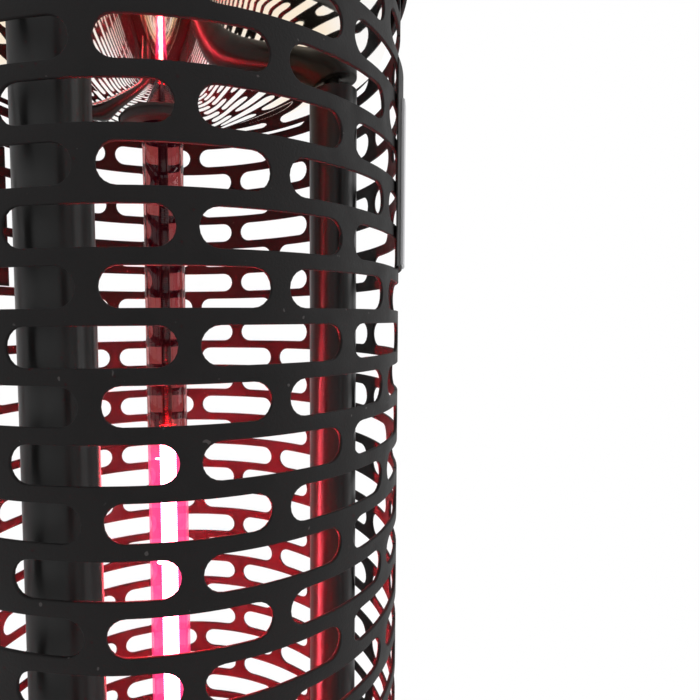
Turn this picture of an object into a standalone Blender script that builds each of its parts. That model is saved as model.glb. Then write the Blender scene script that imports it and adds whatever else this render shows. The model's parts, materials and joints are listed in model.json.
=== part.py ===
"""Electric patio heater: a slotted guard round one upright quartz lamp, on a weighted round base.

Metres, +Z up. The origin is on the floor under the middle of the tower. The control knob faces -Y.
A bearing is an angle about the tower, zero at the knob and growing towards +X.
"""
import math

import bmesh
import bpy
from mathutils import Matrix, Vector

MM = 0.001
FULL_TURN = 2 * math.pi
HALF_TURN = math.pi

# Clearances of the whole assembly
FIT_GAP = 0.3 * MM              # between faces that touch
RUN_GAP = 0.5 * MM              # round a shaft or a stem in its bore
CUT_OVERRUN = 1.0 * MM          # how far a drill passes what it cuts
WELD_DISTANCE = 0.001 * MM      # points nearer than this are one point
RIM_GAP = 0.8 * MM              # round the guard, inside the rims of deck and cap
ROUND_STEPS = 32                # facets round the large turned pieces
SMALL_STEPS = 10                # facets round the small ones
SCREW_STEPS = 8                 # facets round screws and their holes
WIRE_STEPS = 6                  # facets round wires and leads

# Weighted base
FOOT_HEIGHT = 4.0 * MM
FOOT_RADIUS = 11.0 * MM
FOOT_TAPER = 1.2 * MM
FOOT_INSET = 14.0 * MM
FOOT_COUNT = 4
FOOT_FIRST_BEARING = math.radians(45)
PLATE_RADIUS = 120.0 * MM
PLATE_THICKNESS = 5.0 * MM
COVER_WALL = 1.5 * MM
COVER_SIDE_HEIGHT = 20.0 * MM
COVER_SHOULDER_INSET = 2.0 * MM
COVER_SHOULDER_RISE = 5.0 * MM
COVER_NECK_RADIUS = 90.0 * MM
COVER_NECK_DROP = 3.0 * MM
COVER_CROWN_INSET = 4.0 * MM
COVER_BORE_RADIUS = 48.0 * MM
COVER_TOP = 54.0 * MM
BOSS_RADIUS = 5.0 * MM
BOSS_DEPTH_IN_WALL = 0.9 * MM

# Screws
BASE_SCREW_RADIUS = 2.0 * MM
BASE_SCREW_HEAD_RADIUS = 4.0 * MM
BASE_SCREW_HEAD_HEIGHT = 2.0 * MM
BASE_SCREW_GRIP = 12.0 * MM
POST_SCREW_RADIUS = 2.5 * MM
POST_SCREW_HEAD_RADIUS = 4.5 * MM
POST_SCREW_HEAD_HEIGHT = 3.0 * MM
POST_SCREW_GRIP = 6.5 * MM
CAP_SCREW_RADIUS = 2.0 * MM
CAP_SCREW_HEAD_RADIUS = 4.5 * MM
CAP_SCREW_HEAD_HEIGHT = 2.6 * MM
CAP_SCREW_GRIP = 6.0 * MM

# Guard
GUARD_RADIUS = 80.0 * MM
GUARD_SHEET = 1.0 * MM
GUARD_SKIRT = 8.0 * MM
SLOT_COUNT = 12
SLOT_ROWS = 30
ROW_PITCH = 12.4 * MM
SLOT_HEIGHT = 8.7 * MM
WEB_WIDTH = 4.8 * MM
SEAM_BEARING = math.radians(26)
SEAM_GAP = 0.9 * MM
SEAM_PLATE_WIDTH = 26.0 * MM
SEAM_PLATE_HEIGHT = 58.0 * MM
SEAM_PLATE_THICKNESS = 1.2 * MM
SEAM_PLATE_LOW = 34.0 * MM
SEAM_PLATE_DROP = 34.5 * MM
SEAM_PLATE_STEPS = 3

# Deck, posts and mirror
DECK_THICKNESS = 1.5 * MM
DECK_RIM_HEIGHT = 7.0 * MM
DECK_BORE_RADIUS = 6.0 * MM
POST_COUNT = 3
POST_FIRST_BEARING = math.radians(60)
POST_CLEARANCE = 4.4 * MM
POST_RADIUS = 9.0 * MM
POST_WALL = 1.5 * MM
POST_PLUG = 9.0 * MM
POST_DROP = 20.8 * MM
POST_STEPS = 16
MIRROR_SHEET = 0.8 * MM
MIRROR_HOLE_RADIUS = 15.0 * MM
MIRROR_BOWL_INNER_RADIUS = 9.0 * MM
MIRROR_FLANGE_WIDTH = 8.2 * MM
MIRROR_BOWL_DEPTH = 20.4 * MM
MIRROR_CLEARANCE = 2.8 * MM
MIRROR_BOWL_STEPS = 7
MIRROR_STEPS = 30
LOWER_MIRROR_CLEARANCE = 1.6 * MM
LOWER_MIRROR_DISH = 5.0 * MM
LOWER_MIRROR_FLOOR_RADIUS = 24.0 * MM

# Lamp
TUBE_RADIUS = 7.1 * MM
TUBE_WALL = 1.0 * MM
TUBE_STEPS = 16
HOLDER_RADIUS = 14.4 * MM
HOLDER_FLANGE_RADIUS = 20.0 * MM
HOLDER_FLANGE_THICKNESS = 3.0 * MM
HOLDER_HEIGHT = 26.0 * MM
HOLDER_DROP = 2.6 * MM
LAMP_CAP_WALL = 1.0 * MM
LAMP_CAP_LENGTH = 14.0 * MM
LAMP_CAP_END = 2.5 * MM
LAMP_CAP_BOSS = 4.0 * MM
FILAMENT_RADIUS = 2.2 * MM
FILAMENT_LENGTH = 191.0 * MM
FILAMENT_BOTTOM = 106.0 * MM
FILAMENT_SUPPORTS = 5
FILAMENT_SUPPORT_THICKNESS = 1.0 * MM
LAMP_WIRE_RADIUS = 1.1 * MM
LEAD_RADIUS = 1.6 * MM
LEAD_HOLE_GAP = 0.5 * MM
LEAD_BEND = 9.0 * MM
LEAD_BEND_STEPS = 4

# Top
PILLAR_RADIUS = 5.0 * MM
PILLAR_STUD_RADIUS = 2.5 * MM
PILLAR_STUD_LENGTH = 8.0 * MM
CAP_WALL = 1.5 * MM
CAP_RIM_HEIGHT = 9.0 * MM
CAP_EDGE = 1.2 * MM
HANDLE_ROD_RADIUS = 4.0 * MM
HANDLE_SPAN = 124.0 * MM
GRIP_CLEARANCE = 7.1 * MM
HANDLE_BEND = 8.0 * MM
HANDLE_BEND_STEPS = 4
HANDLE_STUB = 9.0 * MM
GRIP_RADIUS = 8.0 * MM
GRIP_LENGTH = 72.0 * MM
GRIP_EDGE = 1.5 * MM
BRACKET_THICKNESS = 3.0 * MM
BRACKET_WIDTH = 15.0 * MM
BRACKET_FOOT = 16.0 * MM
BRACKET_HEAD_RISE = 7.0 * MM
RIVET_RADIUS = 2.0 * MM
RIVET_HEAD_RADIUS = 4.0 * MM
RIVET_HEAD_HEIGHT = 1.6 * MM

# Controls and wiring in the base
KNOB_RADIUS = 16.0 * MM
KNOB_TOP_RADIUS = 14.5 * MM
KNOB_HEIGHT = 13.0 * MM
KNOB_BORE_DEPTH = 8.0 * MM
KNOB_EDGE = 1.5 * MM
KNOB_RIDGE_WIDTH = 3.0 * MM
KNOB_RIDGE_HEIGHT = 1.6 * MM
KNOB_LIFT = 2.0 * MM
SPINDLE_RADIUS = 3.0 * MM
BUSHING_RADIUS = 4.8 * MM
BUSHING_RISE = 1.2 * MM
SWITCH_WIDTH = 24.0 * MM
SWITCH_DEPTH = 14.0 * MM
SWITCH_DROP = 1.0 * MM
SWITCH_BORE_DEPTH = 9.0 * MM
TERMINAL_LENGTH = 40.0 * MM
TERMINAL_WIDTH = 22.0 * MM
TERMINAL_HEIGHT = 14.0 * MM
TERMINAL_FORWARD = 3.7 * MM        # of the upper lead, which enters behind its middle
TIP_SWITCH_PLACE = 62.0 * MM
TIP_SWITCH_BEARING = math.radians(90)
TIP_SWITCH_WIDTH = 16.0 * MM
TIP_SWITCH_HEIGHT = 26.0 * MM
PLUNGER_RADIUS = 4.0 * MM
PLUNGER_TIP_RADIUS = 2.6 * MM
PLUNGER_TIP_HEIGHT = 1.6 * MM
PLUNGER_TRAVEL = 5.0 * MM
PLUNGER_COLLAR_RADIUS = 5.4 * MM
PLUNGER_COLLAR_HEIGHT = 3.0 * MM
TIP_SWITCH_FLOOR = 3.0 * MM
GLAND_RADIUS = 5.5 * MM
GLAND_FLANGE_RADIUS = 8.0 * MM
GLAND_FLANGE_THICKNESS = 3.0 * MM
GLAND_LIP = 4.5 * MM
GLAND_BORE_RADIUS = 3.6 * MM
GLAND_LENGTH_INSIDE = 12.0 * MM
CUTOUT_RADIUS = 8.0 * MM
CUTOUT_HEIGHT = 7.0 * MM
CUTOUT_PLACE = 28.0 * MM
CUTOUT_BEARING = math.radians(-60)

# Sizes that follow from the ones above
PLATE_BOTTOM = FOOT_HEIGHT + FIT_GAP
PLATE_TOP = PLATE_BOTTOM + PLATE_THICKNESS
FOOT_CIRCLE = PLATE_RADIUS - FOOT_INSET
COVER_RADIUS = PLATE_RADIUS + RUN_GAP + COVER_WALL
COVER_SHOULDER_RADIUS = PLATE_RADIUS - COVER_SHOULDER_INSET
COVER_CROWN_RADIUS = COVER_NECK_RADIUS - COVER_CROWN_INSET
DECK_BOTTOM = COVER_TOP + FIT_GAP
DECK_TOP = DECK_BOTTOM + DECK_THICKNESS
DECK_RADIUS = GUARD_RADIUS + RIM_GAP + DECK_THICKNESS
GUARD_BOTTOM = DECK_TOP + FIT_GAP
GUARD_HEIGHT = SLOT_ROWS * ROW_PITCH + 2 * GUARD_SKIRT
GUARD_TOP = GUARD_BOTTOM + GUARD_HEIGHT
POST_CIRCLE = GUARD_RADIUS - GUARD_SHEET - POST_CLEARANCE - POST_RADIUS
MIRROR_RADIUS = GUARD_RADIUS - GUARD_SHEET - MIRROR_CLEARANCE
MIRROR_BOWL_OUTER_RADIUS = MIRROR_RADIUS - MIRROR_FLANGE_WIDTH
LOWER_MIRROR_RADIUS = POST_CIRCLE - POST_RADIUS - LOWER_MIRROR_CLEARANCE
SEAM_PLATE_HIGH = GUARD_HEIGHT - SEAM_PLATE_DROP - SEAM_PLATE_HEIGHT
POST_LENGTH = GUARD_HEIGHT - POST_DROP
POST_BOTTOM = DECK_TOP + FIT_GAP
POST_TOP = POST_BOTTOM + POST_LENGTH
FILAMENT_TOP = FILAMENT_BOTTOM + FILAMENT_LENGTH
CAP_UNDERSIDE = GUARD_TOP + FIT_GAP
CAP_TOP = CAP_UNDERSIDE + CAP_WALL
CAP_RADIUS = GUARD_RADIUS + RIM_GAP + CAP_WALL
TUBE_INNER_RADIUS = TUBE_RADIUS - TUBE_WALL
LAMP_CAP_INNER_RADIUS = TUBE_RADIUS + FIT_GAP
LAMP_CAP_RADIUS = LAMP_CAP_INNER_RADIUS + LAMP_CAP_WALL
HOLDER_BORE_RADIUS = LAMP_CAP_RADIUS + FIT_GAP
POST_BORE_RADIUS = POST_SCREW_RADIUS + FIT_GAP
LEAD_HOLE_RADIUS = LEAD_RADIUS + LEAD_HOLE_GAP
HANDLE_REACH = POST_CIRCLE - CAP_SCREW_HEAD_RADIUS - GRIP_RADIUS - GRIP_CLEARANCE
HANDLE_PIVOT_HEIGHT = CAP_TOP + GRIP_RADIUS + RUN_GAP


def at(bearing, radius, height):
    """The point at a bearing and a radius from the tower's axis."""
    return Vector((radius * math.sin(bearing), -radius * math.cos(bearing), height))


def make_material(name, colour, roughness, metallic=0.0, transmission=0.0, glow=0.0):
    material = bpy.data.materials.new(name)
    material.use_nodes = True
    shader = material.node_tree.nodes["Principled BSDF"]
    shader.inputs["Base Color"].default_value = (*colour, 1.0)
    shader.inputs["Roughness"].default_value = roughness
    shader.inputs["Metallic"].default_value = metallic
    shader.inputs["Transmission Weight"].default_value = transmission
    shader.inputs["Emission Color"].default_value = (*colour, 1.0)
    shader.inputs["Emission Strength"].default_value = glow
    material.diffuse_color = (*colour, 1.0)
    return material


def place(name, mesh, material, location=(0, 0, 0), turn=None):
    """Gives a bmesh its own object, with smooth sides and sharp edges, and puts it in the scene."""
    data = bpy.data.meshes.new(name)
    mesh.to_mesh(data)
    mesh.free()
    data.shade_smooth()
    data.set_sharp_from_angle(angle=math.radians(35))
    data.materials.append(material)
    piece = bpy.data.objects.new(name, data)
    if turn is not None:
        piece.rotation_euler = turn.to_euler()
    piece.location = location
    bpy.context.collection.objects.link(piece)
    return piece


def turned(profile, steps=SMALL_STEPS):
    """Spins an outline of (radius, height) points about Z; points on the axis close the ends.

    The middle of a flat facet, not an edge, lies on +X.
    """
    mesh = bmesh.new()
    start = Matrix.Rotation(math.pi / steps, 3, "Z")
    points = [mesh.verts.new(start @ Vector((radius, 0, height))) for radius, height in profile]
    edges = []
    for first, second in zip(points, points[1:] + points[:1]):
        if first.co.x > 0 or second.co.x > 0:
            edges.append(mesh.edges.new((first, second)))
    bmesh.ops.spin(
        mesh, geom=points + edges, cent=(0, 0, 0), axis=(0, 0, 1), angle=FULL_TURN, steps=steps
    )
    bmesh.ops.remove_doubles(mesh, verts=mesh.verts, dist=WELD_DISTANCE)
    bmesh.ops.recalc_face_normals(mesh, faces=mesh.faces)
    return mesh


def shell_outline(path, wall):
    """Closes a run of (radius, height) points into a wall that lies to the left of the run."""
    run = [Vector(point) for point in path]
    sides = []
    for first, second in zip(run, run[1:]):
        step = (second - first).normalized()
        sides.append(Vector((-step.y, step.x)))
    offset = []
    for index, point in enumerate(run):
        before = sides[max(index - 1, 0)]
        after = sides[min(index, len(sides) - 1)]
        middle = (before + after).normalized()
        offset.append(point + middle * (wall / middle.dot(after)))
    if run[-1].x == 0:
        offset[-1].x = 0
    return [tuple(point) for point in run + offset[::-1]]


def block(size, centre=(0, 0, 0)):
    mesh = bmesh.new()
    matrix = Matrix.Translation(centre) @ Matrix.Diagonal((*size, 1.0))
    bmesh.ops.create_cube(mesh, size=1.0, matrix=matrix)
    return mesh


def add_rod(mesh, start, end, radius, steps=SMALL_STEPS):
    """Adds a plain round bar between two points."""
    start = Vector(start)
    end = Vector(end)
    run = end - start
    turn = run.to_track_quat("Z", "Y").to_matrix().to_4x4()
    matrix = Matrix.Translation((start + end) / 2) @ turn
    sizes = {"radius1": radius, "radius2": radius, "depth": run.length}
    bmesh.ops.create_cone(mesh, cap_ends=True, segments=steps, matrix=matrix, **sizes)


def add_drill(mesh, start, end, radius, steps=SMALL_STEPS):
    """Adds a bar whose flats, not its corners, lie at the hole's radius."""
    add_rod(mesh, start, end, radius / math.cos(math.pi / steps), steps)


def add_upright_drill(mesh, spot, low, high, radius):
    """Adds a small upright drill at a place, reaching past both heights."""
    start = Vector((spot.x, spot.y, low - CUT_OVERRUN))
    end = Vector((spot.x, spot.y, high + CUT_OVERRUN))
    add_drill(mesh, start, end, radius, SCREW_STEPS)


def combine(piece, tool_mesh, operation):
    """Cuts a piece with a tool, or joins the tool to it; the tool itself is only a guide."""
    data = bpy.data.meshes.new(piece.name + "_tool")
    tool_mesh.to_mesh(data)
    tool_mesh.free()
    tool = bpy.data.objects.new(data.name, data)
    tool.hide_render = True
    tool.display_type = "WIRE"
    tool.matrix_world = Matrix.LocRotScale(piece.location, piece.rotation_euler, None)
    bpy.context.collection.objects.link(tool)
    modifier = piece.modifiers.new(operation.title(), "BOOLEAN")
    modifier.operation = operation
    modifier.solver = "EXACT"
    modifier.object = tool
    return piece


def drill(piece, holes, low, high):
    """Drills upright holes, each given as (place, radius), through a piece between two heights."""
    tool = bmesh.new()
    for spot, radius in holes:
        add_upright_drill(tool, spot, low, high, radius)
    return combine(piece, tool, "DIFFERENCE")


def screw_mesh(radius, length, head_radius, head_height):
    """A round-headed screw, its head above its seat at zero and its shank below."""
    crown_share = 0.62
    return turned(
        [
            (0, -length),
            (radius, -length),
            (radius, 0),
            (head_radius, 0),
            (head_radius, head_height * (1 - crown_share)),
            (head_radius * crown_share, head_height),
            (0, head_height),
        ],
        SCREW_STEPS,
    )


FLIP = Matrix.Rotation(HALF_TURN, 4, "X")

for leftover in list(bpy.data.objects):
    bpy.data.objects.remove(leftover)

black_steel = make_material("black powder-coated steel", (0.018, 0.017, 0.018), 0.55)
black_tube = make_material("satin black steel tube", (0.014, 0.013, 0.014), 0.34)
mirror_metal = make_material("polished aluminium mirror", (0.84, 0.82, 0.80), 0.05, metallic=1.0)
plain_steel = make_material("zinc-plated steel", (0.55, 0.55, 0.55), 0.35, metallic=1.0)
bare_strip = make_material("bare stainless strip", (0.62, 0.62, 0.63), 0.42, metallic=1.0)
rubber = make_material("black rubber", (0.02, 0.02, 0.02), 0.85)
black_plastic = make_material("black moulded plastic", (0.022, 0.022, 0.023), 0.45)
ceramic = make_material("dark steatite ceramic", (0.05, 0.046, 0.044), 0.6)
white_plastic = make_material("white switch plastic", (0.75, 0.74, 0.70), 0.5)
quartz = make_material("red-tinted quartz", (0.65, 0.20, 0.20), 0.04, transmission=1.0)
hot_wire = make_material("glowing filament", (1.0, 0.16, 0.20), 0.5, glow=8.0)
dark_wire = make_material("molybdenum wire", (0.10, 0.09, 0.09), 0.4, metallic=1.0)
sleeve = make_material("glass-fibre sleeve", (0.60, 0.58, 0.52), 0.8)

# Places shared by several pieces
foot_bearings = [FOOT_FIRST_BEARING + FULL_TURN * index / FOOT_COUNT for index in range(FOOT_COUNT)]
post_bearings = [POST_FIRST_BEARING + FULL_TURN * index / POST_COUNT for index in range(POST_COUNT)]
lead_bearing = post_bearings[1] + 2 * math.asin((POST_RADIUS + LEAD_RADIUS + FIT_GAP) / (2 * POST_CIRCLE))
lead_spot = at(lead_bearing, POST_CIRCLE, 0)
tip_switch_spot = at(TIP_SWITCH_BEARING, TIP_SWITCH_PLACE, 0)


# Rubber feet, and the screws that hold feet, plate and cover together
def foot_mesh():
    recess = BASE_SCREW_HEAD_HEIGHT + FIT_GAP
    head_room = BASE_SCREW_HEAD_RADIUS + RUN_GAP
    shank_room = BASE_SCREW_RADIUS + FIT_GAP
    return turned(
        [
            (head_room, 0),
            (FOOT_RADIUS - FOOT_TAPER, 0),
            (FOOT_RADIUS, FOOT_TAPER),
            (FOOT_RADIUS, FOOT_HEIGHT),
            (shank_room, FOOT_HEIGHT),
            (shank_room, recess),
            (head_room, recess),
        ],
        SMALL_STEPS,
    )


screw_seat = BASE_SCREW_HEAD_HEIGHT
screw_tip = PLATE_TOP + BASE_SCREW_GRIP
for index, bearing in enumerate(foot_bearings):
    place(f"foot_{index + 1}", foot_mesh(), rubber, at(bearing, FOOT_CIRCLE, 0))
    base_screw = screw_mesh(
        BASE_SCREW_RADIUS, screw_tip - screw_seat, BASE_SCREW_HEAD_RADIUS, BASE_SCREW_HEAD_HEIGHT - FIT_GAP
    )
    place(f"base_screw_{index + 1}", base_screw, plain_steel, at(bearing, FOOT_CIRCLE, screw_seat), FLIP)


# Steel base plate
plate_outline = [
    (0, PLATE_BOTTOM),
    (PLATE_RADIUS, PLATE_BOTTOM),
    (PLATE_RADIUS, PLATE_TOP),
    (0, PLATE_TOP),
]
base_plate = place("base_plate", turned(plate_outline, ROUND_STEPS), black_steel)
plate_holes = [(at(bearing, FOOT_CIRCLE, 0), BASE_SCREW_RADIUS + FIT_GAP) for bearing in foot_bearings]
plate_holes.append((tip_switch_spot, PLUNGER_RADIUS + RUN_GAP))
drill(base_plate, plate_holes, PLATE_BOTTOM, PLATE_TOP)


# Drawn steel base cover with the bosses that take the base screws
COVER_RIM = PLATE_BOTTOM + FIT_GAP
cover_side_top = COVER_RIM + COVER_SIDE_HEIGHT
shoulder = Vector((COVER_SHOULDER_RADIUS, cover_side_top + COVER_SHOULDER_RISE))
neck = Vector((COVER_NECK_RADIUS, COVER_TOP - COVER_NECK_DROP))
slope = (neck - shoulder).normalized()
slope_tilt = math.atan2(slope.y, -slope.x)
cover_path = [
    (COVER_RADIUS, COVER_RIM),
    (COVER_RADIUS, cover_side_top),
    tuple(shoulder),
    tuple(neck),
    (COVER_CROWN_RADIUS, COVER_TOP),
    (COVER_BORE_RADIUS, COVER_TOP),
]
base_cover = place("base_cover", turned(shell_outline(cover_path, COVER_WALL), ROUND_STEPS), black_steel)


facet_share = math.cos(math.pi / ROUND_STEPS)


def slope_height(distance):
    """Height of the slope's outer face at a distance out along the middle of a facet."""
    return shoulder.y + (shoulder.x - distance / facet_share) * math.tan(slope_tilt)


boss_bottom = PLATE_TOP + FIT_GAP
bosses = bmesh.new()
for bearing in foot_bearings:
    low = at(bearing, FOOT_CIRCLE, boss_bottom)
    high = at(bearing, FOOT_CIRCLE, boss_bottom + BOSS_RADIUS)
    add_rod(bosses, low, high, BOSS_RADIUS, SCREW_STEPS)
for vertex in bosses.verts:
    if vertex.co.z > boss_bottom + BOSS_RADIUS / 2:
        distance = max(vertex.co.dot(at(bearing, 1, 0)) for bearing in foot_bearings)
        vertex.co.z = slope_height(distance) - BOSS_DEPTH_IN_WALL
combine(base_cover, bosses, "UNION")

# The knob's axis stands square on the slope at the front
knob_distance = (shoulder.x + neck.x) / 2 * facet_share
knob_base = at(0, knob_distance, slope_height(knob_distance))
knob_turn = Matrix.Rotation(slope_tilt, 4, "X")
knob_axis = knob_turn @ Vector((0, 0, 1))
gland_distance = COVER_RADIUS * facet_share
gland_height = PLATE_TOP + GLAND_RADIUS + RUN_GAP
gland_turn = Matrix.Rotation(-HALF_TURN / 2, 4, "X")
cover_cuts = bmesh.new()
bushing_low = knob_base - knob_axis * BUSHING_RADIUS
bushing_high = knob_base + knob_axis * BUSHING_RADIUS
add_drill(cover_cuts, bushing_low, bushing_high, BUSHING_RADIUS + FIT_GAP)
gland_start = at(HALF_TURN, gland_distance - COVER_WALL - CUT_OVERRUN, gland_height)
gland_end = at(HALF_TURN, gland_distance + CUT_OVERRUN, gland_height)
add_drill(cover_cuts, gland_start, gland_end, GLAND_RADIUS + FIT_GAP)


cover_underside = COVER_TOP - COVER_WALL
for bearing in foot_bearings:
    spot = at(bearing, FOOT_CIRCLE, 0)
    add_upright_drill(cover_cuts, spot, boss_bottom, screw_tip, BASE_SCREW_RADIUS + FIT_GAP)
for bearing in post_bearings:
    spot = at(bearing, POST_CIRCLE, 0)
    add_upright_drill(cover_cuts, spot, cover_underside, COVER_TOP, POST_SCREW_RADIUS + FIT_GAP)
add_upright_drill(cover_cuts, lead_spot, cover_underside, COVER_TOP, LEAD_HOLE_RADIUS)
combine(base_cover, cover_cuts, "DIFFERENCE")


# Cord gland at the back of the cover
gland_outline = [
    (GLAND_BORE_RADIUS, -GLAND_LENGTH_INSIDE),
    (GLAND_RADIUS, -GLAND_LENGTH_INSIDE),
    (GLAND_RADIUS, FIT_GAP),
    (GLAND_FLANGE_RADIUS, FIT_GAP),
    (GLAND_FLANGE_RADIUS, GLAND_FLANGE_THICKNESS),
    (GLAND_RADIUS, GLAND_LIP),
    (GLAND_BORE_RADIUS, GLAND_LIP),
]
gland_spot = at(HALF_TURN, gland_distance, gland_height)
place("cord_gland", turned(gland_outline), rubber, gland_spot, gland_turn)


# Rotary heat switch under the slope, its spindle and the knob
switch_top = -(COVER_WALL + SWITCH_DROP)
switch_mesh = block((SWITCH_WIDTH, SWITCH_WIDTH, SWITCH_DEPTH), (0, 0, switch_top - SWITCH_DEPTH / 2))
rotary_switch = place("rotary_switch", switch_mesh, black_plastic, knob_base, knob_turn)
bushing = bmesh.new()
add_rod(bushing, (0, 0, switch_top - SWITCH_DROP), (0, 0, BUSHING_RISE), BUSHING_RADIUS)
combine(rotary_switch, bushing, "UNION")
spindle_bore = bmesh.new()
bore_bottom = switch_top - SWITCH_BORE_DEPTH
bore_top = BUSHING_RISE + CUT_OVERRUN
add_drill(spindle_bore, (0, 0, bore_bottom), (0, 0, bore_top), SPINDLE_RADIUS + FIT_GAP)
combine(rotary_switch, spindle_bore, "DIFFERENCE")

spindle_mesh = bmesh.new()
spindle_top = KNOB_LIFT + KNOB_BORE_DEPTH - FIT_GAP
add_rod(spindle_mesh, (0, 0, bore_bottom + FIT_GAP), (0, 0, spindle_top), SPINDLE_RADIUS)
place("switch_spindle", spindle_mesh, plain_steel, knob_base, knob_turn)

knob_outline = [
    (SPINDLE_RADIUS + FIT_GAP, KNOB_LIFT),
    (KNOB_RADIUS, KNOB_LIFT),
    (KNOB_RADIUS, KNOB_LIFT + KNOB_EDGE),
    (KNOB_TOP_RADIUS, KNOB_LIFT + KNOB_HEIGHT - KNOB_EDGE),
    (KNOB_TOP_RADIUS - KNOB_EDGE, KNOB_LIFT + KNOB_HEIGHT),
    (0, KNOB_LIFT + KNOB_HEIGHT),
    (0, KNOB_LIFT + KNOB_BORE_DEPTH),
    (SPINDLE_RADIUS + FIT_GAP, KNOB_LIFT + KNOB_BORE_DEPTH),
]
heat_knob = place("heat_knob", turned(knob_outline, 20), black_plastic, knob_base, knob_turn)
ridge_length = KNOB_TOP_RADIUS - KNOB_EDGE
ridge_size = (KNOB_RIDGE_WIDTH, ridge_length, 2 * KNOB_RIDGE_HEIGHT)
ridge_centre = (0, ridge_length / 2, KNOB_LIFT + KNOB_HEIGHT)
combine(heat_knob, block(ridge_size, ridge_centre), "UNION")


# Tip-over switch on the plate, with the plunger that the floor holds up by its collar's travel
tip_bottom = PLATE_TOP + FIT_GAP
tip_floor = tip_bottom + TIP_SWITCH_FLOOR
collar_bottom = tip_floor + PLUNGER_TRAVEL + RUN_GAP
collar_top = collar_bottom + PLUNGER_COLLAR_HEIGHT
tip_size = (TIP_SWITCH_WIDTH, TIP_SWITCH_WIDTH, TIP_SWITCH_HEIGHT)
tip_mesh = block(tip_size, (0, 0, tip_bottom + TIP_SWITCH_HEIGHT / 2))
tip_switch = place("tip_over_switch", tip_mesh, white_plastic, tip_switch_spot)
tip_bore = bmesh.new()
add_drill(tip_bore, (0, 0, PLATE_BOTTOM), (0, 0, tip_floor + RUN_GAP), PLUNGER_RADIUS + RUN_GAP)
combine(tip_switch, tip_bore, "DIFFERENCE")
tip_chamber = bmesh.new()
chamber_top = collar_top + RUN_GAP
add_drill(tip_chamber, (0, 0, tip_floor), (0, 0, chamber_top), PLUNGER_COLLAR_RADIUS + RUN_GAP)
combine(tip_switch, tip_chamber, "DIFFERENCE")
plunger_outline = [
    (0, FIT_GAP),
    (PLUNGER_TIP_RADIUS, FIT_GAP),
    (PLUNGER_RADIUS, FIT_GAP + PLUNGER_TIP_HEIGHT),
    (PLUNGER_RADIUS, collar_bottom),
    (PLUNGER_COLLAR_RADIUS, collar_bottom),
    (PLUNGER_COLLAR_RADIUS, collar_top),
    (0, collar_top),
]
place("tip_over_plunger", turned(plunger_outline), white_plastic, tip_switch_spot)


# Terminal block on the plate, under the lamp's two leads
terminal_middle = lead_spot.y - TERMINAL_FORWARD
terminal_bottom = PLATE_TOP + FIT_GAP
terminal_top = terminal_bottom + TERMINAL_HEIGHT
terminal_size = (TERMINAL_LENGTH, TERMINAL_WIDTH, TERMINAL_HEIGHT)
terminal_centre = (0, terminal_middle, terminal_bottom + TERMINAL_HEIGHT / 2)
terminal_block = place("terminal_block", block(terminal_size, terminal_centre), white_plastic)
lower_lead_spot = Vector((-lead_spot.x, terminal_middle, 0))
clamp_holes = [(lead_spot, LEAD_RADIUS), (lower_lead_spot, LEAD_RADIUS)]
clamp_floor = terminal_top - TERMINAL_HEIGHT / 2
drill(terminal_block, clamp_holes, clamp_floor, terminal_top)


# Pressed steel deck that carries the tower
deck_path = [
    (DECK_BORE_RADIUS, DECK_BOTTOM),
    (DECK_RADIUS, DECK_BOTTOM),
    (DECK_RADIUS, DECK_TOP + DECK_RIM_HEIGHT),
]
deck_mesh = turned(shell_outline(deck_path, DECK_THICKNESS), ROUND_STEPS)
lamp_deck = place("lamp_deck", deck_mesh, black_steel)
post_spots = [at(bearing, POST_CIRCLE, 0) for bearing in post_bearings]
deck_holes = [(spot, POST_SCREW_RADIUS + FIT_GAP) for spot in post_spots]
deck_holes.append((lead_spot, LEAD_HOLE_RADIUS))
drill(lamp_deck, deck_holes, DECK_BOTTOM, DECK_TOP)

cutout_outline = [(0, 0), (CUTOUT_RADIUS, 0), (CUTOUT_RADIUS, CUTOUT_HEIGHT), (0, CUTOUT_HEIGHT)]
cutout_spot = at(CUTOUT_BEARING, CUTOUT_PLACE, DECK_BOTTOM - FIT_GAP - CUTOUT_HEIGHT)
place("thermal_cutout", turned(cutout_outline), plain_steel, cutout_spot)


# Three tubular posts between the deck and the mirror, screwed from below
post_inner = POST_RADIUS - POST_WALL
post_outline = [
    (POST_BORE_RADIUS, 0),
    (POST_RADIUS, 0),
    (POST_RADIUS, POST_LENGTH),
    (POST_BORE_RADIUS, POST_LENGTH),
    (POST_BORE_RADIUS, POST_LENGTH - POST_PLUG),
    (post_inner, POST_LENGTH - POST_PLUG),
    (post_inner, POST_PLUG),
    (POST_BORE_RADIUS, POST_PLUG),
]
post_screw_seat = COVER_TOP - COVER_WALL - FIT_GAP
post_screw_length = POST_BOTTOM + POST_SCREW_GRIP - post_screw_seat
for index, spot in enumerate(post_spots):
    raised = spot + Vector((0, 0, POST_BOTTOM))
    place(f"post_{index + 1}", turned(post_outline, POST_STEPS), black_tube, raised)
    post_screw = screw_mesh(
        POST_SCREW_RADIUS, post_screw_length, POST_SCREW_HEAD_RADIUS, POST_SCREW_HEAD_HEIGHT
    )
    seat = spot + Vector((0, 0, post_screw_seat))
    place(f"post_screw_{index + 1}", post_screw, plain_steel, seat, FLIP)


# Spun mirror over the lamp: a bowl that bulges down, with a flat flange on the posts
def bowl_height(radius):
    """Height of the mirror's polished underside over a radius, from the flange."""
    span = MIRROR_BOWL_OUTER_RADIUS - MIRROR_BOWL_INNER_RADIUS
    share = min(max((radius - MIRROR_BOWL_INNER_RADIUS) / span, 0), 1)
    return -MIRROR_BOWL_DEPTH * (1 + math.cos(HALF_TURN * share)) / 2


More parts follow.
